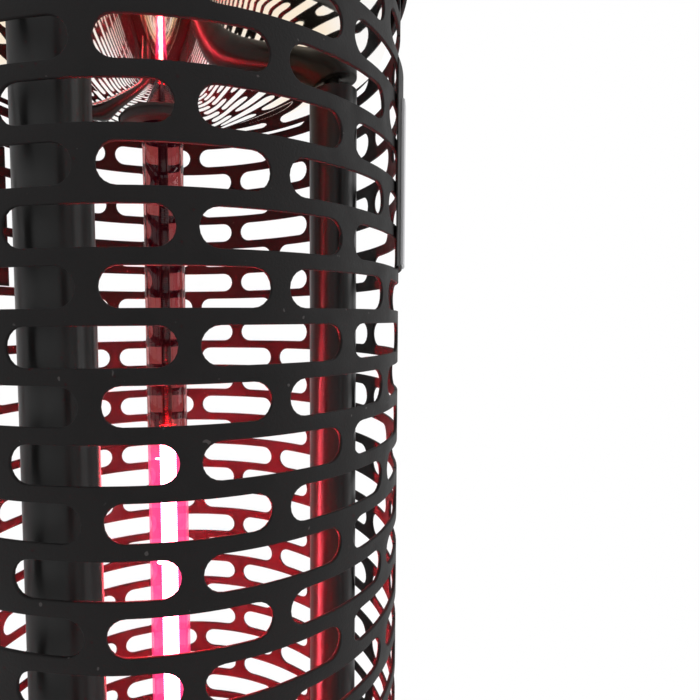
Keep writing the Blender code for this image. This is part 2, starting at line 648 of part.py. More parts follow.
flange_level = POST_TOP + FIT_GAP - bowl_height(POST_CIRCLE - POST_RADIUS)
mirror_path = []
for step in range(MIRROR_BOWL_STEPS + 1):
    share = step / MIRROR_BOWL_STEPS
    radius = MIRROR_HOLE_RADIUS + (MIRROR_BOWL_OUTER_RADIUS - MIRROR_HOLE_RADIUS) * share
    mirror_path.append((radius, flange_level + bowl_height(radius)))
mirror_path.append((MIRROR_RADIUS, flange_level))
upper_mirror_mesh = turned(shell_outline(mirror_path, MIRROR_SHEET), MIRROR_STEPS)
upper_mirror = place("upper_mirror", upper_mirror_mesh, mirror_metal)
mirror_holes = [(spot, PILLAR_STUD_RADIUS + FIT_GAP) for spot in post_spots]
mirror_holes.append((lead_spot, LEAD_HOLE_RADIUS))
drill(upper_mirror, mirror_holes, POST_TOP, flange_level + MIRROR_SHEET)

lower_mirror_path = [
    (HOLDER_RADIUS + RUN_GAP, DECK_TOP + FIT_GAP),
    (LOWER_MIRROR_FLOOR_RADIUS, DECK_TOP + FIT_GAP),
    (LOWER_MIRROR_RADIUS, DECK_TOP + FIT_GAP + LOWER_MIRROR_DISH),
]
lower_mirror_mesh = turned(shell_outline(lower_mirror_path, MIRROR_SHEET), MIRROR_STEPS)
place("lower_mirror", lower_mirror_mesh, mirror_metal)


# Quartz lamp: tube, filament, wires, end caps and ceramic holders
lower_holder_bottom = DECK_TOP + FIT_GAP
lower_cap_bottom = lower_holder_bottom + LAMP_CAP_BOSS + FIT_GAP
tube_bottom = lower_cap_bottom + LAMP_CAP_END + FIT_GAP
upper_holder_bottom = flange_level + bowl_height(MIRROR_HOLE_RADIUS) - HOLDER_DROP
upper_holder_top = upper_holder_bottom + HOLDER_HEIGHT
upper_cap_top = upper_holder_top - LAMP_CAP_BOSS - FIT_GAP
tube_top = upper_cap_top - LAMP_CAP_END - FIT_GAP
tube_outline = [
    (TUBE_INNER_RADIUS, tube_bottom),
    (TUBE_RADIUS, tube_bottom),
    (TUBE_RADIUS, tube_top),
    (TUBE_INNER_RADIUS, tube_top),
]
place("quartz_tube", turned(tube_outline, TUBE_STEPS), quartz)

support_radius = TUBE_INNER_RADIUS - FIT_GAP
filament_outline = [(0, FILAMENT_BOTTOM), (FILAMENT_RADIUS, FILAMENT_BOTTOM)]
for index in range(FILAMENT_SUPPORTS):
    height = FILAMENT_BOTTOM + (FILAMENT_TOP - FILAMENT_BOTTOM) * (index + 0.5) / FILAMENT_SUPPORTS
    low = height - FILAMENT_SUPPORT_THICKNESS / 2
    high = height + FILAMENT_SUPPORT_THICKNESS / 2
    filament_outline += [
        (FILAMENT_RADIUS, low),
        (support_radius, low),
        (support_radius, high),
        (FILAMENT_RADIUS, high),
    ]
filament_outline += [(FILAMENT_RADIUS, FILAMENT_TOP), (0, FILAMENT_TOP)]
place("filament", turned(filament_outline, SCREW_STEPS), hot_wire)

lower_wire_end = (0, 0, FILAMENT_BOTTOM - FIT_GAP)
lower_wire = bmesh.new()
add_rod(lower_wire, (0, 0, lower_cap_bottom), lower_wire_end, LAMP_WIRE_RADIUS, WIRE_STEPS)
place("lower_lamp_wire", lower_wire, dark_wire)
upper_wire_end = (0, 0, FILAMENT_TOP + FIT_GAP)
upper_wire = bmesh.new()
add_rod(upper_wire, upper_wire_end, (0, 0, upper_cap_top), LAMP_WIRE_RADIUS, WIRE_STEPS)
place("upper_lamp_wire", upper_wire, dark_wire)


def lamp_cap_mesh():
    """A cap over the tube's end: its closed end at zero, its mouth above."""
    wire_room = LAMP_WIRE_RADIUS + FIT_GAP
    return turned(
        [
            (wire_room, 0),
            (LAMP_CAP_RADIUS, 0),
            (LAMP_CAP_RADIUS, LAMP_CAP_LENGTH),
            (LAMP_CAP_INNER_RADIUS, LAMP_CAP_LENGTH),
            (LAMP_CAP_INNER_RADIUS, LAMP_CAP_END),
            (wire_room, LAMP_CAP_END),
        ],
        TUBE_STEPS,
    )


place("lower_lamp_cap", lamp_cap_mesh(), plain_steel, (0, 0, lower_cap_bottom))
place("upper_lamp_cap", lamp_cap_mesh(), plain_steel, (0, 0, upper_cap_top), FLIP)


def holder_mesh(flange_bottom):
    """A ceramic sleeve with an inward end at zero and a flange round its outside."""
    wire_room = LEAD_RADIUS + LEAD_HOLE_GAP
    flange_top = flange_bottom + HOLDER_FLANGE_THICKNESS
    outline = [(wire_room, 0), (HOLDER_RADIUS, 0)]
    if flange_bottom > 0:
        outline += [
            (HOLDER_RADIUS, flange_bottom),
            (HOLDER_FLANGE_RADIUS, flange_bottom),
            (HOLDER_FLANGE_RADIUS, flange_top),
            (HOLDER_RADIUS, flange_top),
        ]
    outline += [
        (HOLDER_RADIUS, HOLDER_HEIGHT),
        (HOLDER_BORE_RADIUS, HOLDER_HEIGHT),
        (HOLDER_BORE_RADIUS, LAMP_CAP_BOSS),
        (wire_room, LAMP_CAP_BOSS),
    ]
    return turned(outline, TUBE_STEPS)


place("lower_lamp_holder", holder_mesh(0), ceramic, (0, 0, lower_holder_bottom))
mirror_top_at_flange = flange_level + bowl_height(HOLDER_FLANGE_RADIUS) + 2 * MIRROR_SHEET
holder_seat = upper_holder_top - mirror_top_at_flange - HOLDER_FLANGE_THICKNESS
place("upper_lamp_holder", holder_mesh(holder_seat), ceramic, (0, 0, upper_holder_top), FLIP)


# Sleeved leads from the lamp's ends to the terminal block
def rounded_route(points, bend, steps):
    """A run of straight spans whose corners are rounded off."""
    run = [Vector(point) for point in points]
    route = [run[0]]
    for before, corner, after in zip(run, run[1:], run[2:]):
        back = before - corner
        ahead = after - corner
        start = corner + back.normalized() * min(bend, back.length / 2)
        end = corner + ahead.normalized() * min(bend, ahead.length / 2)
        for step in range(steps + 1):
            share = step / steps
            route.append(start.lerp(corner, share).lerp(corner.lerp(end, share), share))
    route.append(run[-1])
    return route


def place_tube(name, route, radius, material, resolution):
    """A round tube along a route, with its ends filled."""
    curve = bpy.data.curves.new(name, "CURVE")
    curve.dimensions = "3D"
    curve.bevel_depth = radius
    curve.bevel_resolution = resolution
    curve.use_fill_caps = True
    spline = curve.splines.new("POLY")
    spline.points.add(len(route) - 1)
    for point, spot in zip(spline.points, route):
        point.co = (*spot, 1.0)
    curve.materials.append(material)
    piece = bpy.data.objects.new(name, curve)
    bpy.context.collection.objects.link(piece)
    return piece


ridge_height = CAP_UNDERSIDE - LEAD_RADIUS - FIT_GAP
upper_route = [
    (0, 0, upper_cap_top + FIT_GAP),
    (0, 0, ridge_height),
    (lead_spot.x, lead_spot.y, ridge_height),
    (lead_spot.x, lead_spot.y, clamp_floor),
]
lead_body = LEAD_RADIUS - FIT_GAP
place_tube("upper_lead", rounded_route(upper_route, LEAD_BEND, LEAD_BEND_STEPS), lead_body, sleeve, 1)
run_height = (DECK_BOTTOM + terminal_top) / 2
lower_route = [
    (0, 0, lower_cap_bottom - FIT_GAP),
    (0, 0, run_height),
    (lower_lead_spot.x, lower_lead_spot.y, run_height),
    (lower_lead_spot.x, lower_lead_spot.y, clamp_floor),
]
place_tube("lower_lead", rounded_route(lower_route, LEAD_BEND, LEAD_BEND_STEPS), lead_body, sleeve, 1)


# Pillars that stand on the mirror over the posts and carry the cap
pillar_height = CAP_UNDERSIDE - FIT_GAP - (flange_level + MIRROR_SHEET + FIT_GAP)
pillar_bore_depth = CAP_SCREW_GRIP + FIT_GAP
pillar_outline = [
    (0, -PILLAR_STUD_LENGTH),
    (PILLAR_STUD_RADIUS, -PILLAR_STUD_LENGTH),
    (PILLAR_STUD_RADIUS, 0),
    (PILLAR_RADIUS, 0),
    (PILLAR_RADIUS, pillar_height),
    (CAP_SCREW_RADIUS + FIT_GAP, pillar_height),
    (CAP_SCREW_RADIUS + FIT_GAP, pillar_height - pillar_bore_depth),
    (0, pillar_height - pillar_bore_depth),
]
for index, spot in enumerate(post_spots):
    pillar_spot = spot + Vector((0, 0, flange_level + MIRROR_SHEET + FIT_GAP))
    place(f"cap_pillar_{index + 1}", turned(pillar_outline, SCREW_STEPS), plain_steel, pillar_spot)
    cap_screw_length = CAP_WALL + 2 * FIT_GAP + CAP_SCREW_GRIP
    cap_screw = screw_mesh(
        CAP_SCREW_RADIUS, cap_screw_length, CAP_SCREW_HEAD_RADIUS, CAP_SCREW_HEAD_HEIGHT
    )
    place(f"cap_screw_{index + 1}", cap_screw, black_tube, spot + Vector((0, 0, CAP_TOP + FIT_GAP)))


# Pressed steel top cap
cap_path = [
    (CAP_RADIUS, CAP_TOP - CAP_RIM_HEIGHT),
    (CAP_RADIUS, CAP_TOP - CAP_EDGE),
    (CAP_RADIUS - CAP_EDGE, CAP_TOP),
    (0, CAP_TOP),
]
top_cap = place("top_cap", turned(shell_outline(cap_path, CAP_WALL), ROUND_STEPS), black_steel)
bracket_reach = HANDLE_SPAN / 2 - HANDLE_BEND - HANDLE_STUB / 2
rivet_place = bracket_reach - BRACKET_THICKNESS / 2 - BRACKET_FOOT / 2
cap_holes = [(spot, CAP_SCREW_RADIUS + FIT_GAP) for spot in post_spots]
for side in (-1, 1):
    cap_holes.append((Vector((side * rivet_place, 0, 0)), RIVET_RADIUS + FIT_GAP))
drill(top_cap, cap_holes, CAP_UNDERSIDE, CAP_TOP)


# Carrying handle: a bent rod hinged in two brackets, with a grip over its middle
half_span = HANDLE_SPAN / 2
stub_end = half_span - HANDLE_BEND - HANDLE_STUB
rod_route = [
    (stub_end, 0, 0),
    (half_span, 0, 0),
    (half_span, HANDLE_REACH, 0),
    (-half_span, HANDLE_REACH, 0),
    (-half_span, 0, 0),
    (-stub_end, 0, 0),
]
rod_path = rounded_route(rod_route, HANDLE_BEND, HANDLE_BEND_STEPS)
handle_rod = place_tube("handle_rod", rod_path, HANDLE_ROD_RADIUS, black_tube, 2)
handle_rod.location = (0, 0, HANDLE_PIVOT_HEIGHT)
grip_bore = (HANDLE_ROD_RADIUS + FIT_GAP) / math.cos(math.pi / TUBE_STEPS)
grip_outline = [
    (grip_bore, -GRIP_LENGTH / 2),
    (GRIP_RADIUS - GRIP_EDGE, -GRIP_LENGTH / 2),
    (GRIP_RADIUS, GRIP_EDGE - GRIP_LENGTH / 2),
    (GRIP_RADIUS, GRIP_LENGTH / 2 - GRIP_EDGE),
    (GRIP_RADIUS - GRIP_EDGE, GRIP_LENGTH / 2),
    (grip_bore, GRIP_LENGTH / 2),
]
grip_mesh = turned(grip_outline, TUBE_STEPS)
across = Matrix.Translation((0, HANDLE_REACH, 0)) @ Matrix.Rotation(HALF_TURN / 2, 4, "Y")
bmesh.ops.transform(grip_mesh, matrix=across, verts=grip_mesh.verts)
place("handle_grip", grip_mesh, rubber, (0, 0, HANDLE_PIVOT_HEIGHT))


def bracket_mesh(side):
    """A folded plate: an upright with the pivot hole and a foot that lies on the cap, inwards."""
    foot_level = CAP_TOP + FIT_GAP
    outer = bracket_reach + BRACKET_THICKNESS / 2
    inner = bracket_reach - BRACKET_THICKNESS / 2
    toe = inner - BRACKET_FOOT
    head = HANDLE_PIVOT_HEIGHT + BRACKET_HEAD_RISE
    outline = [
        (outer, foot_level),
        (outer, head),
        (inner, head),
        (inner, foot_level + BRACKET_THICKNESS),
        (toe, foot_level + BRACKET_THICKNESS),
        (toe, foot_level),
    ]
    mesh = bmesh.new()
    front = -BRACKET_WIDTH / 2
    face = mesh.faces.new([mesh.verts.new((side * x, front, z)) for x, z in outline])
    grown = bmesh.ops.extrude_face_region(mesh, geom=[face])
    moved = [element for element in grown["geom"] if isinstance(element, bmesh.types.BMVert)]
    bmesh.ops.translate(mesh, vec=(0, BRACKET_WIDTH, 0), verts=moved)
    bmesh.ops.recalc_face_normals(mesh, faces=mesh.faces)
    return mesh


def rivet_mesh():
    """A rivet with its seat at zero, closed by a flat head below the two sheets it holds."""
    grip = CAP_WALL + BRACKET_THICKNESS + 3 * FIT_GAP
    crown_share = 0.7
    return turned(
        [
            (0, -grip - RIVET_HEAD_HEIGHT),
            (RIVET_HEAD_RADIUS, -grip - RIVET_HEAD_HEIGHT),
            (RIVET_HEAD_RADIUS, -grip),
            (RIVET_RADIUS, -grip),
            (RIVET_RADIUS, 0),
            (RIVET_HEAD_RADIUS, 0),
            (RIVET_HEAD_RADIUS * crown_share, RIVET_HEAD_HEIGHT),
            (0, RIVET_HEAD_HEIGHT),
        ],
        SCREW_STEPS,
    )


bracket_foot_top = CAP_TOP + FIT_GAP + BRACKET_THICKNESS
for side, name in ((1, "right"), (-1, "left")):
    bracket = place(f"handle_bracket_{name}", bracket_mesh(side), black_steel)
    holes = bmesh.new()
    reach = Vector((side * bracket_reach, 0, HANDLE_PIVOT_HEIGHT))
    half_cut = Vector((BRACKET_THICKNESS / 2 + CUT_OVERRUN, 0, 0))
    add_drill(holes, reach - half_cut, reach + half_cut, HANDLE_ROD_RADIUS + RUN_GAP)
    rivet_low = (side * rivet_place, 0, CAP_TOP - CUT_OVERRUN)
    rivet_high = (side * rivet_place, 0, bracket_foot_top + CUT_OVERRUN)
    add_drill(holes, rivet_low, rivet_high, RIVET_RADIUS + FIT_GAP, SCREW_STEPS)
    combine(bracket, holes, "DIFFERENCE")
    rivet_seat = (side * rivet_place, 0, bracket_foot_top + FIT_GAP)
    place(f"bracket_rivet_{name}", rivet_mesh(), plain_steel, rivet_seat)


# Slotted guard: two rolled half shells of perforated sheet
def guard_sheet():
    """Half of the guard as a thin sheet from seam to seam, slots in staggered rows.

    Places round the guard are counted in slot pitches from the seam, and heights from the guard's
    lower edge. A row's slots are centred on half pitches or on whole ones, by turns.
    """
    mesh = bmesh.new()
    pitch_angle = FULL_TURN / SLOT_COUNT
    pitches = SLOT_COUNT // 2
    pitch_length = GUARD_RADIUS * pitch_angle
    half_height = SLOT_HEIGHT / 2
    end_cut = half_height * (2 - math.sqrt(2))
    shoulder_height = half_height - end_cut
    half_web = WEB_WIDTH / 2 / pitch_length
    half_web_wide = half_web + end_cut / pitch_length
    edge = SEAM_GAP / 2 / pitch_length
    made = {}

    def point(place_round, height):
        place_round = min(max(place_round, edge), pitches - edge)
        key = (round(place_round, 5), round(height / WELD_DISTANCE))
        if key not in made:
            spot = at(SEAM_BEARING + place_round * pitch_angle, GUARD_RADIUS, GUARD_BOTTOM + height)
            made[key] = mesh.verts.new(spot)
        return made[key]

    def patch(corners, triples, direction=1):
        for triple in triples:
            points = {point(*corners[index]): None for index in triple[::direction]}
            if len(points) == 3:
                mesh.faces.new(list(points))

    def web_places(row):
        offset = 0 if row % 2 else 0.5
        return [index + offset for index in range(pitches + 1) if index + offset <= pitches]

    def row_height(row):
        return GUARD_SKIRT + (row + 0.5) * ROW_PITCH

    beside_web = ((0, 1, 2), (0, 2, 3), (0, 3, 4), (0, 4, 5))
    at_first_seam = ((1, 2, 3), (1, 3, 5), (3, 4, 5))
    at_last_seam = ((0, 1, 2), (0, 2, 4), (0, 4, 5))
    for row in range(SLOT_ROWS):
        level = row_height(row)
        webs = web_places(row)
        for web in webs:
            corners = [
                (web - half_web, level - shoulder_height),
                (web + half_web, level - shoulder_height),
                (web + half_web, level + shoulder_height),
                (web - half_web, level + shoulder_height),
            ]
            patch(corners, ((0, 1, 2), (0, 2, 3)))
        for direction in (1, -1):
            other_row = row + direction
            at_rim = not 0 <= other_row < SLOT_ROWS
            rim = GUARD_HEIGHT if direction > 0 else 0
            slot_edge = level + direction * half_height
            shoulder_level = level + direction * shoulder_height
            facing = rim if at_rim else row_height(other_row) - direction * half_height
            spread = 0 if at_rim else 0.5 - half_web_wide
            for web in webs:
                corners = [
                    (web - half_web_wide, slot_edge),
                    (web - half_web, shoulder_level),
                    (web + half_web, shoulder_level),
                    (web + half_web_wide, slot_edge),
                    (web + spread, facing),
                    (web - spread, facing),
                ]
                triples = {0: at_first_seam, pitches: at_last_seam}.get(web, beside_web)
                patch(corners, triples, direction)
            slots = {web + step for web in webs for step in (-0.5, 0.5)} if at_rim else set()
            for slot in sorted(slot for slot in slots if 0 <= slot <= pitches):
                corners = [
                    (slot - 0.5 + half_web_wide, slot_edge),
                    (slot + 0.5 - half_web_wide, slot_edge),
                    (slot + 0.5, rim),
                    (slot, rim),
                    (slot - 0.5, rim),
                ]
                patch(corners, ((0, 1, 3), (1, 2, 3), (0, 3, 4)), direction)
    return mesh


def thicken(piece, thickness, side):
    """Gives a sheet its thickness: outwards for side 1, inwards for side -1."""
    solidify = piece.modifiers.new("Sheet", "SOLIDIFY")
    solidify.thickness = thickness
    solidify.offset = side
    return piece


guard_right = place("guard_half_right", guard_sheet(), black_steel)
thicken(guard_right, GUARD_SHEET, -1)
guard_left = place("guard_half_left", guard_sheet(), black_steel, turn=Matrix.Rotation(HALF_TURN, 4, "Z"))
thicken(guard_left, GUARD_SHEET, -1)


# Plates welded over the guard's two seams
def seam_plate_sheet(bearing, low):
    mesh = bmesh.new()
    radius = GUARD_RADIUS + 2 * FIT_GAP
    half_angle = SEAM_PLATE_WIDTH / radius / 2
    columns = []
    for step in range(SEAM_PLATE_STEPS + 1):
        turn = bearing + half_angle * (2 * step / SEAM_PLATE_STEPS - 1)
        columns.append([mesh.verts.new(at(turn, radius, low + rise)) for rise in (0, SEAM_PLATE_HEIGHT)])
    for first, second in zip(columns, columns[1:]):
        mesh.faces.new((first[0], second[0], second[1], first[1]))
    return mesh


for side, bearing in (("right", SEAM_BEARING), ("left", SEAM_BEARING + HALF_TURN)):
    for level, low in (("lower", SEAM_PLATE_LOW), ("upper", SEAM_PLATE_HIGH)):
        sheet = seam_plate_sheet(bearing, GUARD_BOTTOM + low)
        plate = place(f"seam_plate_{side}_{level}", sheet, bare_strip)
        thicken(plate, SEAM_PLATE_THICKNESS, 1)
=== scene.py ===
import json
import math

import bmesh
import bpy
from mathutils import Matrix, Vector


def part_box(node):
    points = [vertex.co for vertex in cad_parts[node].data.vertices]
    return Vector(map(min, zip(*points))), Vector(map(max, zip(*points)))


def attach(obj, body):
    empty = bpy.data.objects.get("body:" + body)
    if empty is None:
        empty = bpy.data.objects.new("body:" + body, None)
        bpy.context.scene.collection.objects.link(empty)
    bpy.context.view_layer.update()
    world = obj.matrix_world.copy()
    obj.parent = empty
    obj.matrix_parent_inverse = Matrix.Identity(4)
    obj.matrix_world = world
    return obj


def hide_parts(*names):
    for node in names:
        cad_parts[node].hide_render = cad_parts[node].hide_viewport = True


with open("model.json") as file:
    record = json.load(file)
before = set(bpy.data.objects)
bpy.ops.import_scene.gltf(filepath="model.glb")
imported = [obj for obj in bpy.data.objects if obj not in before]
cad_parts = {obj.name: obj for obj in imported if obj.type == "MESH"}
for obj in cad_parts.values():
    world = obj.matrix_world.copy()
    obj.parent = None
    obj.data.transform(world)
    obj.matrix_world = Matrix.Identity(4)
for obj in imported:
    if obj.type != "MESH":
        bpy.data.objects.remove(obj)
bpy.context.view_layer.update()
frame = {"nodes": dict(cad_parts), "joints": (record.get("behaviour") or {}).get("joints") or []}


# Four moulded rubber feet under the base plate, each a low tapered puck with
# soft edges. The base screws pass up through them into the cover's bosses.
MM = 0.001


def at(bearing, distance, height):
    """A place round the tower: degrees from the front towards the right, and millimetres."""
    turn = math.radians(bearing)
    return Vector((distance * math.sin(turn), -distance * math.cos(turn), height)) * MM


def rounded_corner(before, corner, after, radius, steps):
    """The points of a soft bend in place of a corner; it takes less than half of either side."""
    most_of_side = 0.48
    back, ahead = before - corner, after - corner
    start = corner + back.normalized() * min(radius, back.length * most_of_side)
    end = corner + ahead.normalized() * min(radius, ahead.length * most_of_side)
    shares = [step / steps for step in range(steps + 1)]
    return [start.lerp(corner, share).lerp(corner.lerp(end, share), share) for share in shares]


def eased(outline, radius, steps=3):
    """A closed outline of (distance, height) corners, each corner off the axis rounded off."""
    corners = [Vector(corner) for corner in outline]
    rounded = []
    for index, corner in enumerate(corners):
        after = corners[(index + 1) % len(corners)]
        if corner.x > 0:
            rounded += rounded_corner(corners[index - 1], corner, after, radius, steps)
        else:
            rounded.append(corner)
    return rounded


def turned(outline, steps=96):
    """A closed outline in millimetres turned about the upright axis."""
    mesh = bmesh.new()
    rings = []
    for distance, height in outline:
        count = steps if distance > 0 else 1
        spots = [at(360 * index / steps, distance, height) for index in range(count)]
        rings.append([mesh.verts.new(spot) for spot in spots])
    for ring, above in zip(rings, rings[1:] + rings[:1]):
        for index in range(steps):
            after = index + 1
            corners = [
                ring[index % len(ring)],
                ring[after % len(ring)],
                above[after % len(above)],
                above[index % len(above)],
            ]
            corners = list(dict.fromkeys(corners))
            if len(corners) > 2:
                mesh.faces.new(corners)
    bmesh.ops.recalc_face_normals(mesh, faces=mesh.faces)
    return mesh


def stood_at(mesh, bearing, distance):
    """Moves a piece that was made on the axis out to its place round it."""
    bmesh.ops.translate(mesh, vec=at(bearing, distance, 0), verts=mesh.verts)
    return mesh


def added(owner, kind, values=None, **settings):
    """One more node in a finish or in the room's light, with its sockets' values and settings."""
    node = owner.node_tree.nodes.new(kind)
    for setting, value in settings.items():
        setattr(node, setting, value)
    for socket, value in (values or {}).items():
        node.inputs[socket].default_value = value
    return node


def textured(
    name, colour, roughness, metallic=0.0, grain=900, depth=0.04, tone=0.2, stretch=(1, 1, 1)
):
    """A finish whose tone, gloss and surface vary a little; grain is counted per metre."""
    made = bpy.data.materials.new(name)
    made.use_nodes = True
    links = made.node_tree.links
    shader = made.node_tree.nodes["Principled BSDF"]
    shader.inputs["Metallic"].default_value = metallic
    place = added(made, "ShaderNodeTexCoord")
    drawn = added(made, "ShaderNodeMapping", {"Scale": stretch})
    links.new(place.outputs["Object"], drawn.inputs["Vector"])
    grains_per_cloud = 12
    broad = added(made, "ShaderNodeTexNoise", {"Scale": grain / grains_per_cloud, "Detail": 5})
    fine = added(made, "ShaderNodeTexNoise", {"Scale": grain, "Detail": 3})
    links.new(drawn.outputs["Vector"], broad.inputs["Vector"])
    links.new(drawn.outputs["Vector"], fine.inputs["Vector"])
    darkest, lightest = 0.3, 0.7
    shades = added(made, "ShaderNodeValToRGB")
    shades.color_ramp.elements[0].position = darkest
    shades.color_ramp.elements[1].position = lightest
    shades.color_ramp.elements[0].color = (*[part * (1 - tone) for part in colour], 1)
    shades.color_ramp.elements[1].color = (*[min(part * (1 + tone), 1) for part in colour], 1)
    links.new(broad.outputs["Fac"], shades.inputs["Fac"])
    links.new(shades.outputs["Color"], shader.inputs["Base Color"])
    gloss_spread = 0.15
    glossiest, dullest = roughness * (1 - gloss_spread), min(roughness * (1 + gloss_spread), 1)
    gloss_range = {
        "From Min": darkest, "From Max": lightest, "To Min": glossiest, "To Max": dullest,
    }
    gloss = added(made, "ShaderNodeMapRange", gloss_range)
    links.new(broad.outputs["Fac"], gloss.inputs["Value"])
    links.new(gloss.outputs["Result"], shader.inputs["Roughness"])
    relief = added(made, "ShaderNodeBump", {"Strength": 1.0, "Distance": depth * MM})
    links.new(fine.outputs["Fac"], relief.inputs["Height"])
    links.new(relief.outputs["Normal"], shader.inputs["Normal"])
    return made


def set_in_place(name, mesh, material, body="heater", stands_for=None, sharp=50):
    """Makes a piece of a mesh, rides it on its body and lets it stand for its solid."""
    sheet = bpy.data.meshes.new(name)
    mesh.to_mesh(sheet)
    mesh.free()
    sheet.materials.append(material)
    sheet.shade_smooth()
    sheet.set_sharp_from_angle(angle=math.radians(sharp))
    piece = bpy.data.objects.new(name, sheet)
    bpy.context.collection.objects.link(piece)
    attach(piece, body)
    if stands_for:
        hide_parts(*stands_for)
    return piece


black_rubber = textured("black rubber", (0.022, 0.021, 0.021), 0.8, grain=1500, depth=0.05)
FOOT_HEIGHT = 4.0
FOOT_SOLE, FOOT_TOP = 9.8, 11.0
FOOT_CIRCLE = 106.0
foot_outline = [(0, 0), (FOOT_SOLE, 0), (FOOT_TOP, FOOT_HEIGHT), (0, FOOT_HEIGHT)]
for number in range(1, 5):
    foot = stood_at(turned(eased(foot_outline, 1.0), 64), 90 * number - 45, FOOT_CIRCLE)
    solids = [f"foot_{number}"]
    set_in_place(f"foot_puck_{number}", foot, black_rubber, stands_for=solids)


# Heavy round steel plate that keeps the tower upright, powder-coated with the
# rest of the body, and the zinc-plated screws that hold it from below.
powder_coat = textured(
    "black powder coat", (0.0103, 0.0095, 0.0096), 0.6, grain=1500, depth=0.07, tone=0.35
)
LINT_COLOUR = (0.07, 0.065, 0.065, 1)
LINT_GRAIN = 520
LINT_FROM, LINT_FULL = 0.765, 0.80
coat_nodes = powder_coat.node_tree.nodes
coat_links = powder_coat.node_tree.links
coat_shader = coat_nodes["Principled BSDF"]
coat_shader.inputs["Specular IOR Level"].default_value = 0.16
lint = added(powder_coat, "ShaderNodeTexNoise", {"Scale": LINT_GRAIN, "Detail": 1})
specks = added(powder_coat, "ShaderNodeMapRange", {"From Min": LINT_FROM, "From Max": LINT_FULL})
dusted = added(powder_coat, "ShaderNodeMix", {"B": LINT_COLOUR}, data_type="RGBA")
coat_links.new(coat_nodes["Mapping"].outputs["Vector"], lint.inputs["Vector"])
coat_links.new(lint.outputs["Fac"], specks.inputs["Value"])
coat_links.new(specks.outputs["Result"], dusted.inputs["Factor"])
coat_links.new(coat_shader.inputs["Base Color"].links[0].from_socket, dusted.inputs["A"])
coat_links.new(dusted.outputs["Result"], coat_shader.inputs["Base Color"])
PLATE_RADIUS = 120.0
PLATE_LOW, PLATE_HIGH = 4.3, 9.3


def oblong(inside, outside, low, high):
    """The outline of a plain section, from one distance to another and from low to high."""
    return [(inside, low), (outside, low), (outside, high), (inside, high)]


plate = turned(eased(oblong(0, PLATE_RADIUS, PLATE_LOW, PLATE_HIGH), 1.0), 144)
set_in_place("ballast_plate", plate, powder_coat, stands_for=["base_plate"])


def dress(names, material, edge=0.3):
    """Puts a finish on solids that stay, and breaks their sharp edges."""
    for name in names:
        solid = frame["nodes"][name]
        solid.data.materials.clear()
        solid.data.materials.append(material)
        solid.data.shade_smooth()
        weld = solid.modifiers.new("Weld", "WELD")
        weld.merge_threshold = 0.002 * MM
        ease = solid.modifiers.new("Edges", "BEVEL")
        ease.width = edge * MM
        ease.segments = 2
        ease.limit_method = "ANGLE"
        ease.angle_limit = math.radians(50)
        ease.harden_normals = True


zinc = textured(
    "zinc-plated steel", (0.56, 0.56, 0.55), 0.36, metallic=1.0, grain=2200, depth=0.01
)
dress([f"base_screw_{number}" for number in range(1, 5)], zinc)


# Base cover drawn from one steel sheet: an upright rim, a rounded shoulder and
# a slope that rises to a flat crown, where the tower is screwed down.
COVER_BEND = 3.2
cover_outer = [(122, 4.6), (122, 24.6), (118, 29.6), (90, 51), (86, 54), (48, 54)]
cover_inner = [(48, 52.5), (85.5, 52.5), (89, 49.8), (116.8, 28.6), (120.5, 24.2), (120.5, 4.6)]
cover = turned(eased(cover_outer + cover_inner, COVER_BEND, 6), 192)
set_in_place("cover_shell", cover, powder_coat, stands_for=["base_cover"])


# Cord gland at the back: a moulded bush with a round flange against the cover
# and a short lip, open through its middle.
GLAND_LIP = 4.5
GLAND_BORE, GLAND_NECK, GLAND_FLANGE = 3.6, 5.5, 8.0
gland_outline = [
    (GLAND_BORE, -12), (GLAND_NECK, -12), (GLAND_NECK, 0.3), (GLAND_FLANGE, 0.3),
    (GLAND_FLANGE, 3), (GLAND_NECK, GLAND_LIP), (GLAND_BORE, GLAND_LIP),
]
gland = turned(eased(gland_outline, 0.5), 64)
gland_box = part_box("cord_gland")
gland_middle = (gland_box[0].z + gland_box[1].z) / 2
gland_seat = Matrix.Translation((0, gland_box[1].y - GLAND_LIP * MM, gland_middle))
gland_turn = gland_seat @ Matrix.Rotation(math.radians(-90), 4, "X")
bmesh.ops.transform(gland, matrix=gland_turn, verts=gland.verts)
set_in_place("gland_bush", gland, black_rubber, stands_for=["cord_gland"])


# Heat control: a rotary switch under the slope, its steel spindle, and a
# moulded knob with a fluted skirt and a raised pointer ridge.
black_plastic = textured(
    "black moulded plastic", (0.024, 0.024, 0.025), 0.42, grain=1800, depth=0.03
)
knob_joint = next(joint for joint in frame["joints"] if joint["name"] == "knob_turn")
knob_axis = -Vector(knob_joint["axis"])
knob_turn = Vector((0, 0, 1)).rotation_difference(knob_axis).to_matrix().to_4x4()
knob_stand = Matrix.Translation(Vector(knob_joint["pos_m"])) @ knob_turn
FLUTES = 20
FLUTE_STEPS = 8
FLUTE_DEPTH = 0.45
RIDGE_SHARE = 0.2
FLUTED_BEYOND, FLUTED_ABOVE = 14.2, 3.6
knob_outline = [
    (3.3, 2), (16, 2), (16, 3.5), (14.5, 13.5), (13, 15), (0, 15), (0, 10), (3.3, 10),
]
knob = turned(eased(knob_outline, 1.1, 4), FLUTES * FLUTE_STEPS)
for vertex in knob.verts:
    reach = math.hypot(vertex.co.x, vertex.co.y) / MM
    if reach > FLUTED_BEYOND and vertex.co.z > FLUTED_ABOVE * MM:
        wave = math.cos(FLUTES * math.atan2(vertex.co.x, -vertex.co.y))
        shrink = 1 - FLUTE_DEPTH * max(wave, -RIDGE_SHARE) / reach
        vertex.co.x *= shrink
        vertex.co.y *= shrink
bmesh.ops.transform(knob, matrix=knob_stand, verts=knob.verts)
